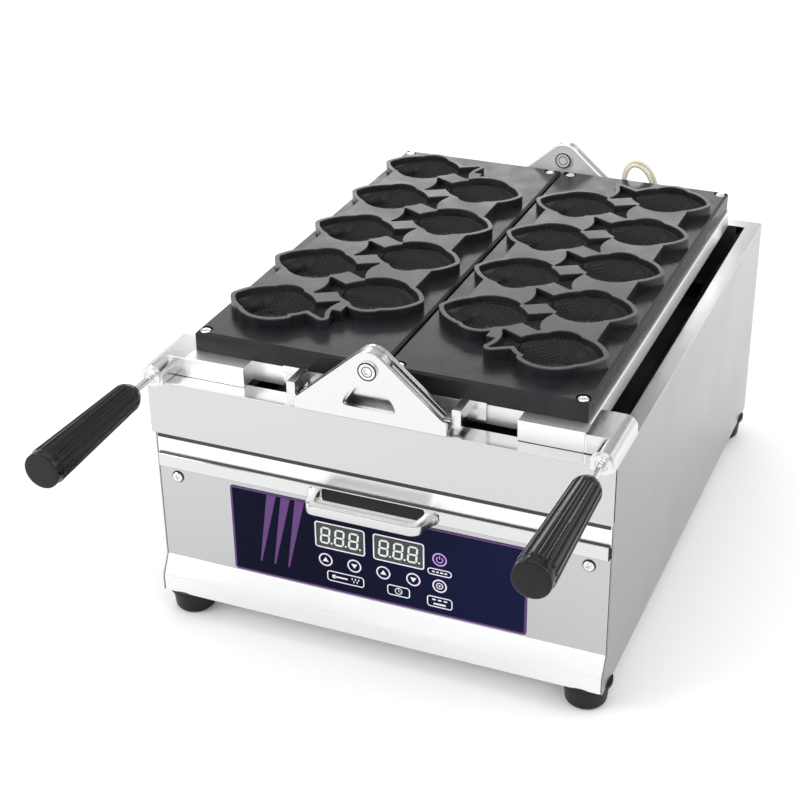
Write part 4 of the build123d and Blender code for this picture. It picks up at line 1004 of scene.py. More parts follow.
# ------------------------------------------------------------------ studio
@dataclass(frozen=True)
class SoftBox:
    """A rectangular lamp: its middle and the point that it faces, its size in millimetres, and its watts."""

    name: str
    place: tuple[float, float, float]
    aim: tuple[float, float, float]
    width: float
    height: float
    watts: float

    def hang(self) -> None:
        """Hangs the lamp."""
        data = bpy.data.lights.new(self.name, "AREA")
        data.shape = "RECTANGLE"
        data.size, data.size_y = self.width * MM, self.height * MM
        data.energy = self.watts
        lamp = bpy.data.objects.new(self.name, data)
        here = Vector(self.place) * MM
        turn = (here - Vector(self.aim) * MM).to_track_quat("Z", "Y")
        lamp.matrix_world = Matrix.Translation(here) @ turn.to_matrix().to_4x4()
        bpy.context.scene.collection.objects.link(lamp)


@dataclass
class Studio:
    """The camera, the pale floor, the soft boxes and the even white surroundings.

    Angles are in radians. A stop pairs the height above the horizon, 0 to 1, with the brightness there: before the
    machine a bright band lies high above the horizon, behind it a lower and darker one. The paper's grain is given
    by its size and depth in millimetres and its strength; the strip beside the machine by where it starts and ends.
    """

    eye: tuple[float, float, float] = (476.888, -1221.5, 878.54)
    azimuth: float = 0.4068077
    elevation: float = 0.5013801
    roll: float = -0.0171346
    lens: float = 75.85
    sensor: float = 36.0
    farthest: float = 100.0
    floor_size: float = 9000.0
    paper: str = "#f7f7f7"
    paper_roughness: float = 0.9
    paper_grain: tuple[float, float, float] = (3.0, 0.05, 0.1)
    beside: tuple[float, float] = (-0.15, 0.25)
    glow_strength: float = 1.8
    gain: float = 1.22
    before: tuple[tuple[float, float], ...] = (
        (0.0, 0.9), (0.05, 0.84), (0.2, 0.5), (0.38, 0.8), (0.46, 1.6), (0.58, 1.65), (0.7, 0.8), (1.0, 0.66),
    )
    behind: tuple[tuple[float, float], ...] = (
        (0.0, 0.9), (0.05, 0.84), (0.2, 0.65), (0.31, 1.15), (0.37, 1.0), (0.42, 0.3), (0.52, 0.3), (0.66, 0.7),
        (1.0, 0.7),
    )
    boxes: tuple[SoftBox, ...] = (
        SoftBox("box_above", (0, 200, 2600), (0, 0, 150), 2600, 2200, 14),
        SoftBox("box_front_left", (-1900, -1700, 1500), (0, 0, 120), 1300, 1300, 24),
        SoftBox("box_right", (2300, 500, 1700), (500, 0, 0), 1600, 1600, 16),
        SoftBox("box_behind", (-900, 2250, 1120), (0, 100, 270), 1300, 420, 7),
    )

    def build(self) -> None:
        """Sets up the whole studio."""
        self.camera()
        self.floor()
        self.surroundings()
        for box in self.boxes:
            box.hang()

    def camera(self) -> None:
        """Places the camera: its back axis from the azimuth and elevation, then rolled about that axis."""
        a, e, r = self.azimuth, self.elevation, self.roll
        back = Vector((math.sin(a) * math.cos(e), -math.cos(a) * math.cos(e), math.sin(e)))
        right = Vector((math.cos(a), math.sin(a), 0.0))
        up = back.cross(right)
        right, up = math.cos(r) * right + math.sin(r) * up, math.cos(r) * up - math.sin(r) * right
        data = bpy.data.cameras.new("camera")
        data.lens = self.lens
        data.sensor_width = self.sensor
        data.clip_end = self.farthest
        camera = bpy.data.objects.new("camera", data)
        turn = Matrix((right, up, back)).transposed().to_4x4()
        camera.matrix_world = Matrix.Translation(Vector(self.eye) * MM) @ turn
        bpy.context.scene.collection.objects.link(camera)
        bpy.context.scene.camera = camera

    def floor(self) -> None:
        """Lays the pale floor: one flat square with a matt, faintly uneven paper finish."""
        half = self.floor_size / 2
        corners = np.array([(-half, -half, 0.0), (half, -half, 0.0), (half, half, 0.0), (-half, half, 0.0)])
        mesh = write_mesh("floor", corners, np.array([[0, 1, 2, 3]]))
        size, depth, strength = self.paper_grain
        paper, tree, shader = start_finish(
            "studio_paper", Roughness=self.paper_roughness, Base_Color=linear(self.paper))
        raise_grain(tree, shader, speckle(tree, [size] * 3), depth, strength)
        mesh.materials.append(paper)
        floor = bpy.data.objects.new("floor", mesh)
        bpy.context.scene.collection.objects.link(floor)

    def surroundings(self) -> None:
        """Fills the room with soft light; the two sets of stops blend over a strip beside the machine."""
        world = bpy.data.worlds.new("studio_room")
        world.use_nodes = True
        tree = world.node_tree
        tree.nodes.clear()
        axes = axes_of(tree, "Generated")
        before, behind = (self.glow(tree, axes["Z"], stops) for stops in (self.before, self.behind))
        start, end = self.beside
        rear = add_node(tree, "MapRange", {"Value": axes["Y"], "From Min": start, "From Max": end})
        room = mix_colours(tree, rear.outputs["Result"], before, behind)
        glow = add_node(tree, "Background", {"Color": room, "Strength": self.glow_strength * self.gain})
        add_node(tree, "OutputWorld", {"Surface": glow.outputs["Background"]})
        bpy.context.scene.world = world
        bpy.context.scene.view_settings.view_transform = "Standard"

    def glow(self, tree: bpy.types.NodeTree, height: bpy.types.NodeSocket,
             stops: Sequence[tuple[float, float]]) -> bpy.types.NodeSocket:
        """Turns the height above the horizon into brightness.

        Args:
            tree: the room's node tree.
            height: the height, 0 to 1.
            stops: pairs of a height and the brightness there.

        Returns:
            The brightness over the glow strength, because a ramp holds no more than 1.
        """
        ramp = add_node(tree, "ValToRGB", {"Fac": height})
        elements = ramp.color_ramp.elements
        elements[0].position, elements[1].position = 0.0, 1.0
        for position, _ in stops[1:-1]:
            elements.new(position)
        for element, (_, value) in zip(elements, stops):
            element.color = (*[value / self.glow_strength] * 3, 1.0)
        return ramp.outputs["Color"]


# ------------------------------------------------------------------ sub-assemblies
@dataclass
class Cabinet:
    """The stainless cabinet: deck, panels, base tray, well, feet and what is inside."""

    finishes: Finishes
    fold_edge: float = 0.7
    tray_crease: float = 18.0
    sheet_edge: float = 0.35
    panel_y: float = -171.5
    # A dark band of painted shadow under the apron: its heights, reach, corners and depth.
    shadow_band_z: tuple[float, float] = (173.6, 179.6)
    shadow_band_reach: float = 197.6
    shadow_corner: float = 0.9
    shadow_proud: float = 0.7
    screw_x: float = 181.5
    screw_z: float = 137.0
    head_radius: float = 4.6
    head_rise: float = 2.35
    # A dark ring of painted shadow round each screw head: its radius, width and depth.
    shadow_ring_radius: float = 4.95
    shadow_ring_width: float = 1.0
    shadow_ring_proud: float = 0.55

    def build(self) -> None:
        """Dresses the cabinet's sheets and the parts inside them."""
        f = self.finishes
        soften(f.sheet, self.fold_edge, "deck")
        soften(f.tray_sheet, self.fold_edge, "base_tray", crease=self.tray_crease)
        # The front panel and the side panels get darker copies of the sheet, painted shade; the strip a lighter one,
        # painted light.
        soften(f.shaded_panel_sheet, self.sheet_edge, "front_panel")
        soften(f.sheet, self.sheet_edge, "rear_panel")
        soften(f.lit_strip_sheet, self.sheet_edge, "front_strip")
        soften(f.shaded_side_sheet, self.sheet_edge, "side_panel_left", "side_panel_right")
        dress(f.inner_sheet, "well_liner", "drawer_runners", "heat_shield")
        dress(f.bright, "foot_bolts", "bracket_screws")
        dress(f.board, "control_board")
        dress(f.grey_nylon, "terminal_block")
        dress(f.aluminium, "relay_heatsink")
        dress(f.window, "led_displays")
        dress(f.black_nylon, "cable_gland")
        dress(f.rubber, "foot_front_left", "foot_front_right", "foot_rear_left", "foot_rear_right", "lead_grommets")
        self.apron_shadow_band()
        self.screws()

    def apron_shadow_band(self) -> None:
        """Lays a dark band of painted shadow in the step under the apron: a long box with round edges."""
        low, high = self.shadow_band_z
        loop = rounded_box(0, (low + high) / 2, 2 * self.shadow_band_reach, high - low, self.shadow_corner)
        box = raised(loop, self.panel_y - self.shadow_proud, self.panel_y)
        skin_piece("apron_shadow_band", [box], self.finishes.shadow_band, "base", RING_CREASE)

    def screws(self) -> None:
        """Sets a cross-recessed pan head over each of the front panel's screws, with a dark ring of painted shadow
        round it.
        """
        heads, shadow_rings = [], []
        points, faces = screw_head(self.head_radius, self.head_rise)
        for x in (-self.screw_x, self.screw_x):
            upright = np.stack([x + points[:, 0], self.panel_y - points[:, 2], self.screw_z + points[:, 1]], axis=1)
            heads.append((upright, faces))
            ring = circle(x, self.screw_z, self.shadow_ring_radius, 48)
            shadow_rings.append(stroke(ring, self.shadow_ring_width, self.panel_y - self.shadow_ring_proud, self.panel_y, True))
        skin_piece("panel_screw_shadow_rings", shadow_rings, self.finishes.socket, "base", RING_CREASE)
        piece = skin_piece("panel_screw_heads", heads, self.finishes.bright, "base", HEAD_CREASE)
        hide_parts("panel_screws")


def screw_head(
    radius: float, rise: float, slot: float = 1.1, turn: float = 0.4, wall: float = 0.45, sunk: float = 0.55
) -> Surface:
    """Works out a pan head with a cross recess, seen along z, its seat at z = 0.

    Above its wall the head rises as the square root of 1 less the fourth power of the distance over the radius. The
    recess is the larger of two troughs, each a smooth step across a bar of the slot's half width, and fades with the
    distance.

    Args:
        radius: the head's radius in millimetres.
        rise: its height.
        slot: the width of the recess.
        turn: how far the cross is turned, in radians.
        wall: the share of the rise that is straight wall.
        sunk: the depth of the recess as a share of the rise.

    Returns:
        The points and faces.
    """
    angle = np.linspace(0, 2 * math.pi, 64, endpoint=False)[None, :]
    out = np.concatenate([[radius * 0.98], np.sqrt(np.linspace(1, 0.002, 26)) * radius])[:, None]
    x, y = out * np.cos(angle + turn), out * np.sin(angle + turn)
    bar = np.minimum(np.abs(out * np.cos(angle)), np.abs(out * np.sin(angle)))
    slope = 0.15
    trough = fade(bar, slot / 2 + slope, slot / 2 - slope) * fade(out, 0.62 * radius, 0.37 * radius)
    dome = np.sqrt(np.clip(1 - (out / radius) ** 4, 0, 1))
    z = rise * (wall + (1 - wall) * dome) - sunk * rise * trough
    z[0] = 0.0
    return loft(np.stack([x, y, z], axis=2))


@dataclass
class Drawer:
    """The crumb drawer: tray, front bar and strap handle."""

    finishes: Finishes
    bar_edge: float = 0.4
    bar_width: float = 394.0
    bar_z: tuple[float, float] = (146.0, 158.5)
    panel_y: float = -171.5
    face_y: float = -174.5
    handle_foot: tuple[float, float] = (-51.85, -174.2)
    handle_front: tuple[float, float] = (-46.06, -197.0)
    handle_bend: float = 6.5
    handle_z: float = 147.75
    handle_flare: float = 0.55
    flare_reach: float = 5.5
    handle_section: tuple[tuple[float, float], ...] = (
        (-2.9, 0.0), (2.6, 0.0), (3.5, 0.5), (3.75, 1.4), (3.75, 6.4), (3.4, 7.5), (2.6, 8.0), (1.7, 8.1), (1.5, 8.8),
        (1.2, 9.0), (-2.9, 9.0), (-3.6, 8.6), (-3.75, 7.9), (-3.75, 1.0), (-3.5, 0.3),
    )
    # A dark patch of painted shade on the drawer's face, in the handle's opening: its size, lift and depth.
    shade_pad_size: tuple[float, float, float] = (90.0, 11.4, 2.5)
    shade_pad_lift: float = 4.5
    shade_pad_proud: float = 0.35
    shade_pad_sunk: float = 0.1
    # A dark line of painted shadow round the drawer's bar: its gap, corners, width and depth.
    shadow_gap: float = 0.3
    shadow_corner: float = 0.8
    shadow_width: float = 0.9
    shadow_proud: tuple[float, float] = (1.4, 0.2)

    def build(self) -> None:
        """Dresses the drawer and lays a dark line of painted shadow round its bar."""
        dress(self.finishes.inner_sheet, "crumb_tray")
        soften(self.finishes.mirror_sheet, self.bar_edge, "drawer_front")
        self.handle()
        low, high = self.bar_z
        width, height = self.bar_width + 2 * self.shadow_gap, high - low + 2 * self.shadow_gap
        loop = rounded_box(0, (low + high) / 2, width, height, self.shadow_corner)
        front, back = (self.panel_y - proud for proud in self.shadow_proud)
        ring = stroke(loop, self.shadow_width, front, back, joined=True)
        skin_piece("drawer_shadow_line", [ring], self.finishes.shadow_band, "drawer", RING_CREASE)

    def handle(self) -> None:
        """Forges the handle: a stepped bar along a rounded trapezoid in plan, over a dark patch of painted shade on the
        drawer's face.

        The path has straight runs and a quarter-like arc at each front corner. The cross-section lies square to the
        path, u outwards and z up, and u grows towards both ends by a bell curve of the distance to the face.
        """
        side = np.array(self.handle_front) - np.array(self.handle_foot)
        lean = math.atan2(side[0], -side[1])
        sweep = math.pi / 2 - lean
        cut = self.handle_bend * math.tan(sweep / 2)
        turn = np.linspace(0, sweep, 16)
        middle = np.array(self.handle_front) + (cut, self.handle_bend)
        arc = middle + self.handle_bend * np.stack([-np.cos(turn + lean), -np.sin(turn + lean)], axis=1)
        run = self.handle_foot + (arc[0] - self.handle_foot) * np.linspace(0, 1, 14)[:-1, None]
        front = arc[-1] + ((0.0, arc[-1][1]) - arc[-1]) * np.linspace(0, 1, 10)[1:, None]
        half = np.concatenate([run, arc, front])
        path = np.concatenate([half, half[-2::-1] * (-1, 1)])
        ahead = np.gradient(path, axis=0)
        outwards = np.stack([ahead[:, 1], -ahead[:, 0]], axis=1) / np.linalg.norm(ahead, axis=1, keepdims=True)
        flare = 1 + self.handle_flare * bell(path[:, 1] - path[0, 1], self.flare_reach)
        u, z = np.array(self.handle_section).T
        across = (flare[:, None] * u[None, :])[:, :, None] * outwards[:, None, :]
        plan = path[:, None, :] + across
        level = np.broadcast_to(self.handle_z + z[None, :], plan.shape[:2])
        bar = loft(np.concatenate([plan, level[:, :, None]], axis=2))
        piece = skin_piece("forged_drawer_handle", [bar], self.finishes.strap, "drawer", BAR_CREASE)
        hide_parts("drawer_handle")
        # Painted shade: the dark rubber patch behind the handle.
        shade_pad = raised(rounded_box(0, self.handle_z + self.shade_pad_lift, *self.shade_pad_size), self.face_y - self.shade_pad_proud,
                     self.face_y + self.shade_pad_sunk)
        skin_piece("drawer_handle_shade_pad", [shade_pad], self.finishes.rubber, "drawer", RING_CREASE)


@dataclass
class Hinge:
    """The pivot brackets, bolts, washers and the arms of both halves.

    A ring is given by its radius, number of points, width, and its front and back behind the bolt end's face; a disc
    by the same without the width. A tab is given by its inner and outer edge and its new width.
    """

    finishes: Finishes
    cast_edge: float = 0.9
    arm_edge: float = 0.5
    shortest: float = 6.0
    tab: tuple[float, float, float] = (66.0, 80.0, 7.5)
    axis_z: float = 275.0
    # Painted shade: dark rings at the bolt end's edge and round its socket.
    shades: tuple[tuple, ...] = ((7.4, 64, 1.1, -0.1, 0.9), (4.3, 48, 0.7, -0.09, 0.4))
    nut: tuple = (5.7, 64, 2.2, -0.06, 0.3)
    shank: tuple = (4.0, 40, -0.05, 0.3)
    socket: tuple = (3.1, 6, 1.3, 1.9)

    def build(self) -> None:
        """Dresses the hinge."""
        f = self.finishes
        soften(f.casting, self.cast_edge, "pivot_bracket_front")
        soften(f.blasted, self.cast_edge, "pivot_bracket_rear")
        dress(f.bright, "pivot_bolt_front", "pivot_bolt_rear", "arm_washers")
        self.bolt_details()
        soften(f.casting, self.arm_edge, "arm_rear_left", "arm_rear_right", shortest=self.shortest)
        soften(f.casting, self.arm_edge, "arm_front_left", "arm_front_right", shortest=self.shortest,
               reshape=self.forge_tab)

    def forge_tab(self, points: np.ndarray) -> np.ndarray:
        """Narrows a front arm's tab as the forging die does: across the tab, x shrinks towards its inner edge.

        Args:
            points: the arm's points in millimetres.

        Returns:
            The reshaped points.
        """
        inner, outer, width = self.tab
        reach = np.abs(points[:, 0])
        narrowed = np.where(reach > outer, reach - (outer - inner - width),
                            inner + (reach - inner) * width / (outer - inner))
        shaped = points.copy()
        shaped[:, 0] = np.sign(points[:, 0]) * np.where(reach > inner, narrowed, reach)
        return shaped

    def ring(self, face: float, radius: float, points: int, width: float, front: float, back: float) -> Surface:
        """Makes a ring on a bolt end's face.

        Args:
            face: the y of the bolt end's face.
            radius: the ring's middle radius in millimetres.
            points: how many points it has.
            width: its width.
            front: how far behind the face its front is.
            back: how far behind the face its back is.

        Returns:
            The points and faces.
        """
        return stroke(circle(0, self.axis_z, radius, points), width, face + front, face + back, True)

    def disc(self, face: float, radius: float, points: int, front: float, back: float) -> Surface:
        """Makes a disc on a bolt end's face.

        Args:
            face: the y of the bolt end's face.
            radius: the disc's radius in millimetres.
            points: how many corners it has.
            front: how far behind the face its front is.
            back: how far behind the face its back is.

        Returns:
            The points and faces.
        """
        return raised(circle(0, self.axis_z, radius, points), face + front, face + back)

    def bolt_details(self) -> None:
        """Adds the dark rings and the pale faces of each pivot bolt's end that looks to the front.

        One ring of painted shade lies at the end's edge and one round the socket or the shank's end. The socket's floor
        is a flat hexagon; at the rear a wide ring is the nut's face and a disc the shank's end.
        """
        front, rear = (box_mm(f"pivot_bolt_{end}")[0][1] for end in ("front", "rear"))
        for end, face in (("front", front), ("rear", rear)):
            rings = [self.ring(face, *ring) for ring in self.shades]
            skin_piece(f"pivot_bolt_shade_{end}", rings, self.finishes.socket, "base", RING_CREASE)
        for end, shapes in (
            ("front", [self.disc(front, *self.socket)]),
            ("rear", [self.ring(rear, *self.nut), self.disc(rear, *self.shank)]),
        ):
            skin_piece(f"pivot_bolt_face_{end}", shapes, self.finishes.blasted, "base", RING_CREASE)


@dataclass
class MouldHalf:
    """One mould half: the coated casting on its stainless frame, with all that is under it."""

    side: str
    finishes: Finishes
    casting_edge: float = 0.6
    frame_edge: float = 0.5
    lug_edge: float = 0.8
    shortest: float = 6.0
    screw_x: tuple[float, float] = (10.5, 162.1)
    screw_y: tuple[float, float] = (-140.0, 300.0)
    screw_seat: float = 262.75
    head_radius: float = 4.6
    head_rise: float = 2.35
    rod_x: float = 191.0
    rod_z: float = 237.0
    lug_front: float = -182.5
    bush_profile: tuple[tuple[float, float], ...] = (
        (3.05, 0.0), (3.05, 2.0), (3.5, 2.35), (4.7, 2.35), (5.15, 2.0), (5.15, 0.0),
    )
    grip_rear: float = -215.5
    grip_profile: tuple[tuple[float, float], ...] = (
        (8.6, 0.0), (9.4, 0.4), (9.7, 1.0), (11.4, 4.6), (11.85, 5.6), (12.25, 8.0), (12.3, 9.0), (12.33, 10.0),
        (12.35, 11.5), (12.4, 13.0), (14.06, 70.0), (15.436, 115.0), (15.5, 117.0), (15.5, 119.2), (15.38, 119.7),
        (15.1, 119.95), (14.72, 120.0), (14.7, 120.3), (14.7, 121.0), (14.7, 127.9), (14.5, 128.5), (14.0, 128.85),
        (13.3, 129.0), (9.3, 129.0), (4.65, 129.0),
    )
    flutes: int = 16
    flute_radius: float = 2.0
    flute_offset: float = 0.8
    flute_runout: tuple[float, float] = (8.5, 12.0)
    flute_end: float = 119.97

    @property
    def sign(self) -> float:
        """Gives the side's sign along x.

        Returns:
            1 on the right, -1 on the left.
        """
        return 1.0 if self.side == "right" else -1.0

    def build(self) -> None:
        """Dresses the half."""
        f, side = self.finishes, self.side
        soften(f.nonstick, self.casting_edge, f"mould_{side}")
        soften(f.frame_sheet, self.frame_edge, f"frame_{side}", shortest=self.shortest)
        soften(f.casting, self.lug_edge, f"handle_lug_{side}", shortest=self.shortest)
        dress(f.inner_sheet, f"half_cover_{side}", f"heater_{side}", f"sensor_{side}", f"lead_gland_{side}")
        dress(f.blanket, f"insulation_{side}")
        dress(f.bright, f"handle_rod_{side}")
        FishRelief(side, f).build()
        self.screws()
        self.bush()
        self.grip()

    def screws(self) -> None:
        """Sets a cross-recessed head in each counterbore at the plate's corners."""
        heads = []
        points, faces = screw_head(self.head_radius, self.head_rise)
        for x in self.screw_x:
            for y in self.screw_y:
                heads.append((points * (self.sign, 1, 1) + (self.sign * x, y, self.screw_seat), faces))
        piece = skin_piece(
            f"mould_screw_heads_{self.side}", heads, self.finishes.bright, f"{self.side}_half", HEAD_CREASE)
        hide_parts(f"mould_screws_{self.side}")

    def round_rod(self, out: np.ndarray, ahead: np.ndarray, turn: np.ndarray, start: float) -> np.ndarray:
        """Carries a profile round the rod's axis, which runs to the front.

        Args:
            out: the profile's distance from the axis in millimetres.
            ahead: how far each of its points lies before the start.
            turn: the angles round the axis, in radians.
            start: the y of the profile's start.

        Returns:
            Rows by columns by 3, of the shape that the first three take together.
        """
        return np.stack(np.broadcast_arrays(
            self.sign * (self.rod_x + out * np.cos(turn)), start - ahead, self.rod_z + out * np.sin(turn)
        ), axis=2)

    def bush(self, around: int = 48) -> None:
        """Closes the lug's boss round the rod with a turned bush: a ring whose face is chamfered on both sides.

        Args:
            around: how many points a ring has.
        """
        out, proud = np.array(self.bush_profile).T[:, None, :]
        turn = np.linspace(0, 2 * math.pi, around, endpoint=False)[:, None]
        ring = loft(self.round_rod(out, proud, turn, self.lug_front), joined=True)
        skin_piece(f"rod_bush_{self.side}", [ring], self.finishes.bright, f"{self.side}_half", PRINT_CREASE)

    def grip(self, around: int = 256) -> None:
        """Turns the fluted grip on its axis.

        The profile gives the radius along the grip. Round the barrel the radius is a soft least of two: the barrel's
        own, and the near side of each flute's circle, whose middle lies just outside the barrel. The flutes run out
        over a few millimetres at the rear and end short of the cap.

        Args:
            around: how many points a ring has.
        """
        radius, along = np.array(self.grip_profile).T[:, :, None]
        turn = np.linspace(0, 2 * math.pi, around, endpoint=False)[None, :]
        pitch = 2 * math.pi / self.flutes
        off = (turn + pitch / 2) % pitch - pitch / 2
        middle = radius + self.flute_offset
        chord = np.clip(self.flute_radius ** 2 - (middle * np.sin(off)) ** 2, 0, None)
        near = np.where(chord > 0, middle * np.cos(off) - np.sqrt(chord), middle)
        runout = fade(along, *self.flute_runout) * (along < self.flute_end)
        ring = radius - np.clip(radius - near, 0, None) * np.sqrt(runout)
        grip = loft(self.round_rod(ring, along, turn, self.grip_rear))
        piece = skin_piece(
            f"fluted_grip_{self.side}", [grip], self.finishes.bakelite, f"{self.side}_half", BAR_CREASE)
        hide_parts(f"grip_{self.side}")


@dataclass
class FishRelief:
    """The carved skin in the cavities of one half: scaled bodies, gills, eyes, fins and tails.

    A fish is worked out once with its nose at x = 0, its tail towards +x, its back towards +y and the block's top at
    z = 0, in millimetres. It lies on the cavity's flat floor and reaches its drafted walls a few millimetres below
    the top. A ridge is given by its distance from a middle, its height and its width. A fade is given by where along
    the fish it starts and ends. Ribs are given by their height and, on the tail, how many there are, or on a fin, how
    far apart they are and how they lean. The levels are those of the rails under each part. A fin is given by the
    middle and radius of its bow, where it starts, where it ends at the body and at its tip, and 1 for the back or -1
    for the belly. A column of cavities is given by its name, the way the fish head, the x of their noses, how many
    there are and how many pitches after the first place it starts.
    """

    side: str
    finishes: Finishes
    block_top: float = 274.75
    first_y: float = -86.5
    pitch: float = 83.25
    columns: tuple[tuple[str, float, float, int, float], ...] = (
        ("outer", -1.0, 161.6, 5, 0.0), ("seam", 1.0, 11.0, 4, 0.5),
    )
    bow: tuple[float, float, float] = (37.53, -12.68, 39.61)
    waist_x: float = 70.6
    tail_span: float = 20.2
    notch_x: float = 116.86
    notch_radius: float = 31.56
    rim_depth: float = 5.0
    body_depth: float = 13.3
    inset: float = 0.35
    scale_pitch: float = 5.6
    scale_height: float = 0.95
    scale_line: float = 0.11
    scales_from: tuple[float, float] = (24.5, 26.5)
    scales_to: tuple[float, float] = (69.0, 65.0)
    nose_x: float = 1.0
    nose_fade: tuple[float, float] = (17.0, 0.0)
    nose_power: float = 2.2
    waist_fade: tuple[float, float] = (46.0, 70.6)
    waist_power: float = 1.6
    waist_share: float = 0.62
    body_rail: tuple[float, float] = (2.2, 0.3)
    levels: tuple[float, float, float] = (-13.9, -9.9, -7.9)
    tail_share: float = 0.38
    tail_rise: float = 0.3
    tail_ribs: tuple[float, float] = (0.45, 7.5)
    fin_root: float = 0.6
    fin_inset: float = 0.45
    fin_least: float = 0.2
    fin_depth: float = 5.1
    fin_sag: float = 0.9
    fin_ribs: tuple[float, float, float] = (0.42, 3.1, 0.45)
    gill_middle: float = 8.5
    gills: tuple[tuple[float, float, float], ...] = ((15.5, 1.0, 0.75), (11.8, 0.6, 0.6))
    gills_from: tuple[float, float] = (13.0, 16.0)
    eye: tuple[float, float] = (13.5, 7.0)
    eye_clear: tuple[float, float] = (3.6, 4.6)
    eye_ridges: tuple[tuple[float, float, float], ...] = ((3.3, 0.9, 0.65), (0.0, 1.2, 1.5))
    mouth: tuple[float, float] = (1.5, 0.28)
    mouth_ridge: tuple[float, float] = (0.9, 0.6)
    mouth_end: tuple[float, float] = (9.0, 7.5)
    breast_root: tuple[float, float] = (27.0, -2.0)
    breast_lean: tuple[float, float] = (0.94, 0.34)
    breast_size: tuple[float, float] = (15.0, 4.2)
    breast_rim: tuple[float, float] = (1.1, 0.55)
    breast_ribs: tuple[float, float] = (0.45, 1.8)
    breast_clear: tuple[float, float, float, float] = (34.5, -4.5, 9.5, 6.5)
    fins: tuple[tuple, ...] = (
        ((39.66, 4.915), 27.89, (18.4, 58.2, 59.2), 1), ((38.865, 15.563), 16.46, (26.2, 51.6, 52.2), -1),
    )

    def half_width(self, x: np.ndarray) -> np.ndarray:
        """Gives the body's half width: a bow whose middle lies on the far side of the fish's line.

        Args:
            x: where along the fish.

        Returns:
            The half widths.
        """
        bow_x, bow_y, radius = self.bow
        return bow_y + np.sqrt(np.clip((radius - self.inset) ** 2 - (x - bow_x) ** 2, 0, None))

    def scales(self, x: np.ndarray, y: np.ndarray) -> np.ndarray:
        """Gives the height of the scales' edges.

        Rows of half circles one pitch wide stand half a pitch apart and are staggered by half a pitch. The height
        falls off with the distance to the nearest half circle, measured in pitches along the fish and shortened
        where the half circle runs along it.

        Args:
            x: where along the fish.
            y: where across it.

        Returns:
            The heights, 0 to 1.
        """
        nearest = np.full(x.shape, np.inf)
        for row in (0.0, 0.5):
            across = y / self.scale_pitch + row
            off = across - np.round(across)
            arc = np.sqrt(np.clip(0.25 - off ** 2, 0.0, None))
            phase = x / self.scale_pitch - row - arc
            gap = np.abs(phase - np.round(phase)) * (0.25 + 1.5 * arc)
            nearest = np.minimum(nearest, gap)
        return bell(nearest, self.scale_line)

    def features(self, x: np.ndarray, y: np.ndarray) -> np.ndarray:
        """Gives the height of the head's lines and the breast fin.

        The gill covers are rings about a point in the head, kept behind it; the eye is a ring about a dome; the
        mouth is a line from the nose; the breast fin is a leaf of sine shape along a slanting axis, with ribs.

        Args:
            x: where along the fish.
            y: where across it.

        Returns:
            The heights in millimetres.
        """
        ring = np.hypot(x - self.gill_middle, y)
        height = sum(high * bell(ring - out, wide) for out, high, wide in self.gills) * fade(x, *self.gills_from)
        eye = np.hypot(x - self.eye[0], y - self.eye[1])
        height = height * fade(eye, *self.eye_clear)
        height = height + sum(high * bell(eye - out, wide) for out, high, wide in self.eye_ridges)
        drop, slope = self.mouth
        high, wide = self.mouth_ridge
        height += high * bell(y + drop + slope * x, wide) * fade(x, *self.mouth_end)
        from_root, above_root = x - self.breast_root[0], y - self.breast_root[1]
        cosine, sine = self.breast_lean
        length, half = self.breast_size
        along = (from_root * cosine - above_root * sine) / length
        across = from_root * sine + above_root * cosine
        leaf = half * np.sin(math.pi * np.clip(along, 0, 1) ** 0.8)
        rim, rim_wide = self.breast_rim
        rib, apart = self.breast_ribs
        ribs = (np.abs(across) < leaf) * np.cos(2 * math.pi * across / apart)
        height += ((along > 0) & (along < 1)) * (rim * bell(np.abs(across) - leaf, rim_wide) + rib * ribs)
        return height

    @staticmethod
    def bowl(v: np.ndarray) -> np.ndarray:
        """Gives the cross-section of a body or tail: full in the middle, falling steeply to both edges.

        Args:
            v: the place across, -1 to 1.

        Returns:
            The depth as a share of the deepest.
        """
        return np.clip(1 - np.abs(v) ** 2.4, 0, 1) ** 0.8

    @staticmethod
    def closed_below(
        x: np.ndarray, y: np.ndarray, z: np.ndarray, rails: Sequence[tuple[np.ndarray, np.ndarray]], level: float
    ) -> Surface:
        """Closes a relief's skin with two rails under it.

        Args:
            x: the skin's points, rows by columns.
            y: the same.
            z: the same.
            rails: the x and y of the rail under the skin's last column, and of the one under its first.
            level: the rails' z.

        Returns:
            The points and faces.
        """
        under = [np.stack([rail_x, rail_y, np.full(len(rail_x), level)], axis=1) for rail_x, rail_y in rails]
        return loft(np.concatenate([np.stack([x, y, z], axis=2), np.stack(under, axis=1)], axis=1))

    def body(self) -> Surface:
        """Works out the body: a bowl across the fish and along it, with scales, over the cavity's floor.

        The scales keep clear of the head, of the waist and of an oval round the breast fin.

        Returns:
            The points and faces.
        """
        x = np.linspace(self.nose_x, self.waist_x, 96)[:, None]
        v = np.sin(np.linspace(-1, 1, 74) * math.pi / 2)[None, :]
        wide = self.half_width(x)
        nose, waist = fade(x, *self.nose_fade) ** self.nose_power, fade(x, *self.waist_fade) ** self.waist_power
        deep = self.bowl(v) * (1 - nose - self.waist_share * waist)
        x_all, y_all = np.broadcast_arrays(x, v * wide)
        oval_x, oval_y, half_long, half_high = self.breast_clear
        to_fin = np.hypot((x_all - oval_x) / half_long, (y_all - oval_y) / half_high)
        scaled = fade(x_all, *self.scales_from) * fade(x_all, *self.scales_to)
        scaled = scaled * np.clip(1 - 4 * fade(to_fin, 1, 0), 0, 1)
        carved = self.scale_height * scaled * self.scales(x_all, y_all) + self.features(x_all, y_all)
        inside = np.clip((1 - np.abs(v)) * 14, 0, 1)
        z = -self.rim_depth - (self.body_depth - self.rim_depth) * deep + inside * carved
        inwards, least = self.body_rail
        rail = np.clip(wide[:, 0] - inwards, least, None)
        return self.closed_below(x_all, y_all, z, [(x[:, 0], rail), (x[:, 0], -rail)], self.levels[0])

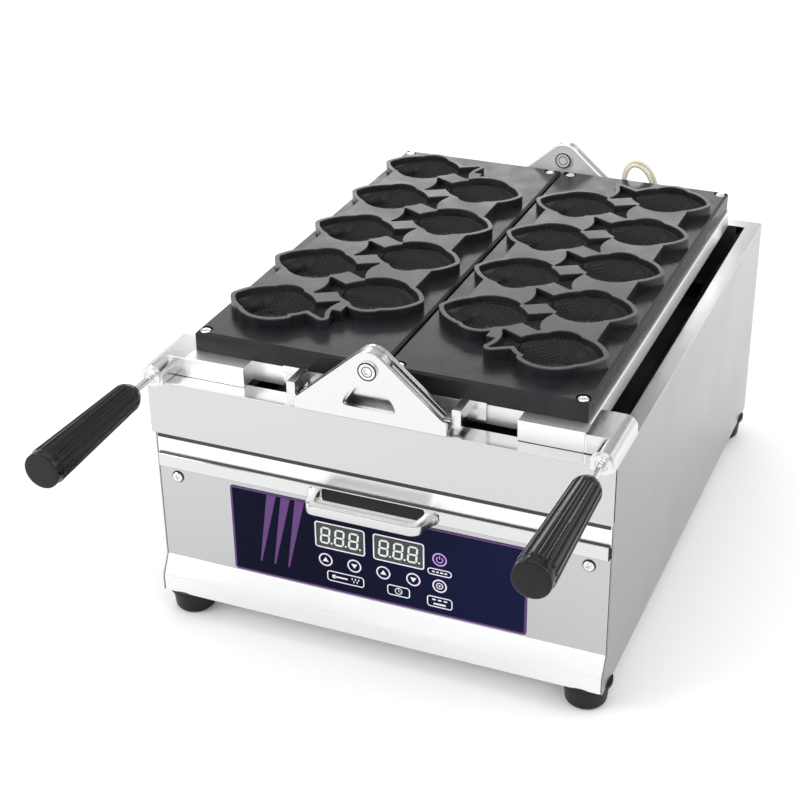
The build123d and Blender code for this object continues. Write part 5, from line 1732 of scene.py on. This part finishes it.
    def tail(self) -> Surface:
        """Works out the tail: a straight blend from the waist to the forked end, ribbed lengthwise.

        Returns:
            The points and faces.
        """
        u = np.linspace(0, 1, 26)[:, None]
        v = np.linspace(-1, 1, 62)[None, :]
        y0 = v * float(self.half_width(np.array(self.waist_x)))
        y1 = v * self.tail_span
        x1 = self.notch_x - np.sqrt(self.notch_radius ** 2 - y1 ** 2)
        x = self.waist_x + (x1 - self.waist_x) * u
        y = y0 + (y1 - y0) * u
        deep = (self.body_depth - self.rim_depth) * self.tail_share * self.bowl(v) * (1 - self.tail_rise * u)
        high, many = self.tail_ribs
        ribs = high * np.cos(2 * math.pi * v * many) * np.clip(u * 5, 0, 1) * np.clip((1 - np.abs(v)) * 12, 0, 1)
        rails = [(x[:, n], y[:, n] * 0.9) for n in (-1, 0)]
        return self.closed_below(x, y, -self.rim_depth - deep + ribs, rails, self.levels[1])

    def fin(self, middle: tuple[float, float], radius: float, xs: Sequence[float], side: float) -> Surface:
        """Works out a fin: from the body's bow to the fin's own bow, with slanting ribs.

        Args:
            middle: the middle of the fin's bow.
            radius: the bow's radius.
            xs: where the fin starts, ends at the body and ends at its tip.
            side: 1 for the back, -1 for the belly.

        Returns:
            The points and faces.
        """
        u = np.linspace(0, 1, 58)[:, None]
        v = np.linspace(0, 1, 12)[None, :]
        x0, x1 = xs[0] + (xs[1] - xs[0]) * u, xs[0] + (xs[2] - xs[0]) * u
        y0 = self.half_width(x0) - self.fin_root
        bow = middle[1] + np.sqrt(np.clip((radius - self.fin_inset) ** 2 - (x1 - middle[0]) ** 2, 0, None))
        y1 = np.maximum(bow, y0 + self.fin_least)
        x, y = x0 + (x1 - x0) * v, y0 + (y1 - y0) * v
        high, apart, lean = self.fin_ribs
        ribs = high * np.cos(2 * math.pi * (x - lean * y) / apart) * np.clip(v * 6, 0, 1) * np.clip((1 - v) * 6, 0, 1)
        z = -self.fin_depth - self.fin_sag * np.sin(math.pi * v) + ribs
        return self.closed_below(x, side * y, z, [(x[:, n], side * y[:, n]) for n in (-1, 0)], self.levels[2])

    def build(self) -> None:
        """Puts a fish into every cavity, the outer column heads out and the seam column heads in."""
        fish, faces = gather([self.body(), self.tail(), *(self.fin(*fin) for fin in self.fins)])
        mirror = np.array([1.0 if self.side == "right" else -1.0, 1.0, 1.0])
        for column, heads, nose, count, start in self.columns:
            placed = []
            for row in range(count):
                there = np.array([nose, self.first_y + (row + start) * self.pitch, self.block_top])
                placed.append(((fish * (heads, heads, 1) + there) * mirror, faces))
            name = f"fish_relief_{column}_{self.side}"
            # The pockets' finish is painted darker than the block: painted shade.
            skin_piece(name, placed, self.finishes.cavity, f"{self.side}_half")


@dataclass
class ControlPanel:
    """The printed film with its windows, digits, keys and plain stripes, all without words.

    A box is given by its middle's x and z, its width and height and its corners' radius; a row of bars has several x.
    The power key's arc is given by its first and last angle in degrees, its radius and how far above the key's middle
    its own is; the bar by how far above it is, its width and height and its corners' radius.
    """

    finishes: Finishes
    face: float = -171.9
    film_edge: float = 0.15
    border: tuple[float, ...] = (0.0, 98.5, 261.8, 81.8, 2.2)
    border_line: float = 1.7
    stripe_x: tuple[float, ...] = (-98.0, -85.0, -72.0)
    stripe: tuple[tuple[float, float], ...] = ((-9.0, 70.0), (-7.6, 70.0), (9.2, 139.0), (0.6, 139.0))
    window_x: tuple[float, float] = (-31.6, 21.0)
    window_z: float = 110.6
    window: tuple[float, float, float] = (43.0, 23.0, 1.6)
    window_frame: tuple[float, float, float] = (44.2, 24.2, 2.2)
    frame_line: float = 1.15
    digit_x: tuple[float, ...] = (-13.2, -0.4, 12.4)
    digit_size: tuple[float, float] = (7.4, 14.6)
    digit_lean: float = 0.09
    digit_line: float = 1.75
    digit_gap: float = 0.22
    point: tuple[float, float, float] = (2.0, 0.4, 0.95)
    key_z: float = 86.3
    key_x: tuple[float, ...] = (-45.3, -19.1, 7.1, 33.8)
    key_radius: float = 5.7
    key_line: float = 1.3
    arrow: tuple[tuple[float, float], ...] = ((-2.7, -1.8), (2.7, -1.8), (0.0, 2.6))
    side_x: float = 57.0
    power_z: float = 111.5
    lower_key_z: float = 85.7
    lower_key_mark: tuple[tuple, ...] = ((2.7, 24, 0.8), (0.9, 12))
    power_arc: tuple[float, float, float, float] = (125.0, 415.0, 2.7, -0.2)
    power_bar: tuple[float, ...] = (2.1, 0.9, 3.6, 0.4)
    icon_line: float = 0.9
    labels: tuple[tuple[float, ...], ...] = (
        (-27.5, 71.2, 33.0, 9.4, 2.4), (20.5, 71.2, 19.5, 9.4, 2.4), (57.0, 98.9, 20.5, 5.6, 2.7),
        (57.0, 69.3, 21.5, 9.8, 2.4),
    )
    label_line: float = 0.9
    bars: tuple[tuple, ...] = (
        ((-31.5,), 71.2, 12.0, 1.5, 0.7), ((-21.5, -18.5, -15.5), 72.6, 0.8, 2.2, 0.3),
        ((-20.0, -17.0), 70.0, 0.8, 2.2, 0.3), ((51.6, 55.2, 58.8, 62.4), 98.9, 2.6, 1.2, 0.5),
        ((52.0, 57.0, 62.0), 71.3, 3.2, 1.3, 0.5), ((57.0,), 67.3, 11.0, 1.5, 0.6),
    )
    bulb: tuple[float, float, float] = (-38.0, 71.2, 1.9)
    clock: tuple[float, float, float] = (20.5, 71.2, 3.0)
    clock_hands: tuple[tuple[float, float], ...] = ((20.5, 73.4), (20.5, 71.2), (22.3, 70.6))

    def build(self) -> None:
        """Dresses the film and prints everything on it."""
        f = self.finishes
        soften(f.film, self.film_edge, "control_overlay")
        self.print_ink("panel_windows", self.windows(), f.window, 0.10)
        self.print_ink("panel_digits", self.digits(), f.segments, 0.16)
        self.print_ink("panel_white_print", self.white_print(), f.white_ink, 0.13)
        self.print_ink("panel_lilac_print", self.lilac_print(), f.lilac_ink, 0.12)
        self.print_ink("panel_violet_print", self.violet_print(), f.violet_ink, 0.12)
        self.print_ink("panel_purple_print", self.purple_print(), f.purple_ink, 0.08)

    def print_ink(
        self, name: str, shapes: Sequence[Union[np.ndarray, tuple]], ink: bpy.types.Material, proud: float,
        sunk: float = 0.1
    ) -> None:
        """Prints outlines and lines in one ink.

        Args:
            name: the piece's name.
            shapes: filled outlines as arrays, and lines as tuples of path, width and whether it is closed.
            ink: the ink.
            proud: how far it stands before the film, in millimetres.
            sunk: how far it reaches into the film.
        """
        front, back = self.face - proud, self.face + sunk
        surfaces = []
        for shape in shapes:
            if isinstance(shape, tuple):
                path, width, closed = shape
                surfaces.append(stroke(path, width, front, back, closed))
            else:
                surfaces.append(raised(shape, front, back))
        skin_piece(name, surfaces, ink, "base", PRINT_CREASE)

    def windows(self) -> list:
        """Draws the two smoked windows.

        Returns:
            The shapes to print.
        """
        return [rounded_box(x, self.window_z, *self.window) for x in self.window_x]

    def digits(self) -> list:
        """Draws three eights with points in each window.

        A digit's seven strokes run between six corners that lean to the right; the point is a small circle.

        Returns:
            The shapes to print.
        """
        wide, tall = self.digit_size
        level = np.array([-tall / 2, 0.0, tall / 2])
        shapes = []
        for middle in (window + place for window in self.window_x for place in self.digit_x):
            left, right = ([(middle + edge + self.digit_lean * z, self.window_z + z) for z in level]
                           for edge in (-wide / 2, wide / 2))
            pairs = [(left[n], right[n]) for n in range(3)]
            pairs += [(side[n], side[n + 1]) for side in (left, right) for n in range(2)]
            shapes += [self.shortened(*pair) for pair in pairs]
            aside, above, radius = self.point
            shapes.append(circle(middle + wide / 2 + aside, self.window_z - tall / 2 + above, radius, 12))
        return shapes

    def shortened(self, start: Sequence[float], end: Sequence[float]) -> np.ndarray:
        """Draws a digit's stroke a little short of its two corners.

        Args:
            start: the x and z of one corner.
            end: the x and z of the other.

        Returns:
            6 by 2 points.
        """
        first, last = np.array(start), np.array(end)
        step = (last - first) / np.linalg.norm(last - first) * self.digit_gap
        return pointed_bar(first + step, last - step, self.digit_line)

    def white_print(self) -> list:
        """Draws the window frames, the arrows on the keys, the frames of the label boxes and their plain icons.

        Returns:
            The shapes to print.
        """
        shapes = [(rounded_box(x, self.window_z, *self.window_frame), self.frame_line, True) for x in self.window_x]
        for x, way in zip(self.key_x, (1, -1, 1, -1)):
            arrow = np.array(self.arrow) * (1, way) + (x, self.key_z)
            shapes.append(arrow[::way])
        shapes += [(rounded_box(*label), self.label_line, True) for label in self.labels]
        shapes += [rounded_box(x, *bar) for xs, *bar in self.bars for x in xs]
        shapes += [circle(*self.bulb, 16), (circle(*self.clock, 24), 0.7, True)]
        shapes.append((np.array(self.clock_hands), 0.6, False))
        for radius, points, *line in self.lower_key_mark:
            mark = circle(self.side_x, self.lower_key_z, radius, points)
            shapes.append((mark, *line, True) if line else mark)
        return shapes

    def key_ring(self, x: float, z: float) -> tuple:
        """Draws the ring of a round key.

        Args:
            x: the key's middle.
            z: the key's middle.

        Returns:
            The shape to print.
        """
        return circle(x, z, self.key_radius, 40), self.key_line, True

    def lilac_print(self) -> list:
        """Draws the rings of the arrow keys and of the lower round key.

        Returns:
            The shapes to print.
        """
        return [*(self.key_ring(x, self.key_z) for x in self.key_x), self.key_ring(self.side_x, self.lower_key_z)]

    def violet_print(self) -> list:
        """Draws the power key: its ring, its circle that is open at the top, and its bar.

        Returns:
            The shapes to print.
        """
        first, last, radius, above = self.power_arc
        turn = np.linspace(math.radians(first), math.radians(last), 26)
        arc = np.stack([self.side_x + radius * np.cos(turn), self.power_z + above + radius * np.sin(turn)], axis=1)
        up, *size = self.power_bar
        bar = rounded_box(self.side_x, self.power_z + up, *size)
        return [self.key_ring(self.side_x, self.power_z), (arc, self.icon_line, False), bar]

    def purple_print(self) -> list:
        """Draws the border and three plain slanting stripes that taper downwards.

        Returns:
            The shapes to print.
        """
        stripes = [np.array(self.stripe) + (x, 0.0) for x in self.stripe_x]
        return [(rounded_box(*self.border), self.border_line, True), *stripes]


@dataclass
class HeaterLead:
    """The sleeved lead that arches from the right half's rear arm to the deck.

    The route is in metres.
    """

    finishes: Finishes
    strand: float = 4.1
    apart: tuple[float, float] = (0.7, 2.0)
    width: float = 7.0
    route: tuple[tuple[float, float, float], ...] = (
        (0.063, 0.3108, 0.257),
        (0.063, 0.3108, 0.27067),
        (0.06967, 0.31281, 0.28033),
        (0.0790, 0.31569, 0.27900),
        (0.0880, 0.3175, 0.26967),
        (0.0945, 0.3185, 0.25138),
        (0.096, 0.3185, 0.2331),
    )

    def centreline(self) -> np.ndarray:
        """Reads points along the smooth line through the route's control points.

        Returns:
            n by 3 points in metres.
        """
        curve = bpy.data.curves.new("lead_line", "CURVE")
        curve.dimensions = "3D"
        spline = curve.splines.new("NURBS")
        spline.points.add(len(self.route) - 1)
        for point, place in zip(spline.points, self.route):
            point.co = (*place, 1.0)
        spline.order_u = 3
        spline.use_endpoint_u = True
        spline.resolution_u = 10
        holder = bpy.data.objects.new("lead_line", curve)
        mesh = bpy.data.meshes.new_from_object(holder)
        points = np.zeros(len(mesh.vertices) * 3)
        mesh.vertices.foreach_get("co", points)
        bpy.data.objects.remove(holder)
        bpy.data.curves.remove(curve)
        bpy.data.meshes.remove(mesh)
        return points.reshape(-1, 3)

    def build(self, around: int = 20) -> None:
        """Sweeps a circle along each of the lead's two strands.

        A strand lies beside the line, square to it in its own plane, by a distance that grows as a squared sine
        towards the middle. The ring at each point lies square to the line: its two axes are the line's direction
        crossed with the y axis, and the direction crossed with that. UV runs along the sleeve in x, round it in y.

        Args:
            around: how many points a ring has.
        """
        line = self.centreline()
        ahead = np.gradient(line, axis=0)
        ahead /= np.linalg.norm(ahead, axis=1, keepdims=True)
        side = np.cross(ahead, (0.0, 1.0, 0.0))
        side /= np.linalg.norm(side, axis=1, keepdims=True)
        over = np.cross(side, ahead)
        turn = np.linspace(0, 2 * math.pi, around, endpoint=False)[None, :, None]
        reach = np.concatenate([[0], np.cumsum(np.linalg.norm(np.diff(line, axis=0), axis=1))])
        along = reach / reach[-1]
        beside = (self.apart[0] + (self.apart[1] - self.apart[0]) * np.sin(math.pi * along) ** 2)[:, None]
        surfaces = []
        for way in (1.0, -1.0):
            middle = line / MM + way * beside * side + way * 0.5 * beside * over
            points = middle[:, None, :] + self.strand / 2 * (
                np.cos(turn) * side[:, None, :] + np.sin(turn) * over[:, None, :])
            surfaces.append((points.reshape(-1, 3), grid_faces(len(line), around, wrap_columns=True)))
        uv = np.stack(np.broadcast_arrays(along[:, None], turn[0, :, 0][None, :] / (2 * math.pi)), axis=-1)
        mesh = write_mesh("heater_lead_sleeve", *gather(surfaces), np.tile(uv.reshape(-1, 2), (2, 1)))
        lead = bpy.data.objects.new("heater_lead_sleeve", mesh)
        bpy.context.scene.collection.objects.link(lead)
        mesh.materials.append(self.finishes.sleeve)
        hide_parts("heater_lead")
        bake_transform(lead)
        LOG.info("heater_lead_sleeve: %.1f mm long", reach[-1] / MM)


def main() -> None:
    """Builds the sub-assemblies in order."""
    Studio().build()
    finishes = Finishes()
    HeaterLead(finishes).build()
    Cabinet(finishes).build()
    Drawer(finishes).build()
    Hinge(finishes).build()
    for side in ("left", "right"):
        MouldHalf(side, finishes).build()
    ControlPanel(finishes).build()


if __name__ == "__main__":
    logging.basicConfig(level=logging.INFO, format="%(name)s: %(message)s")
    main()
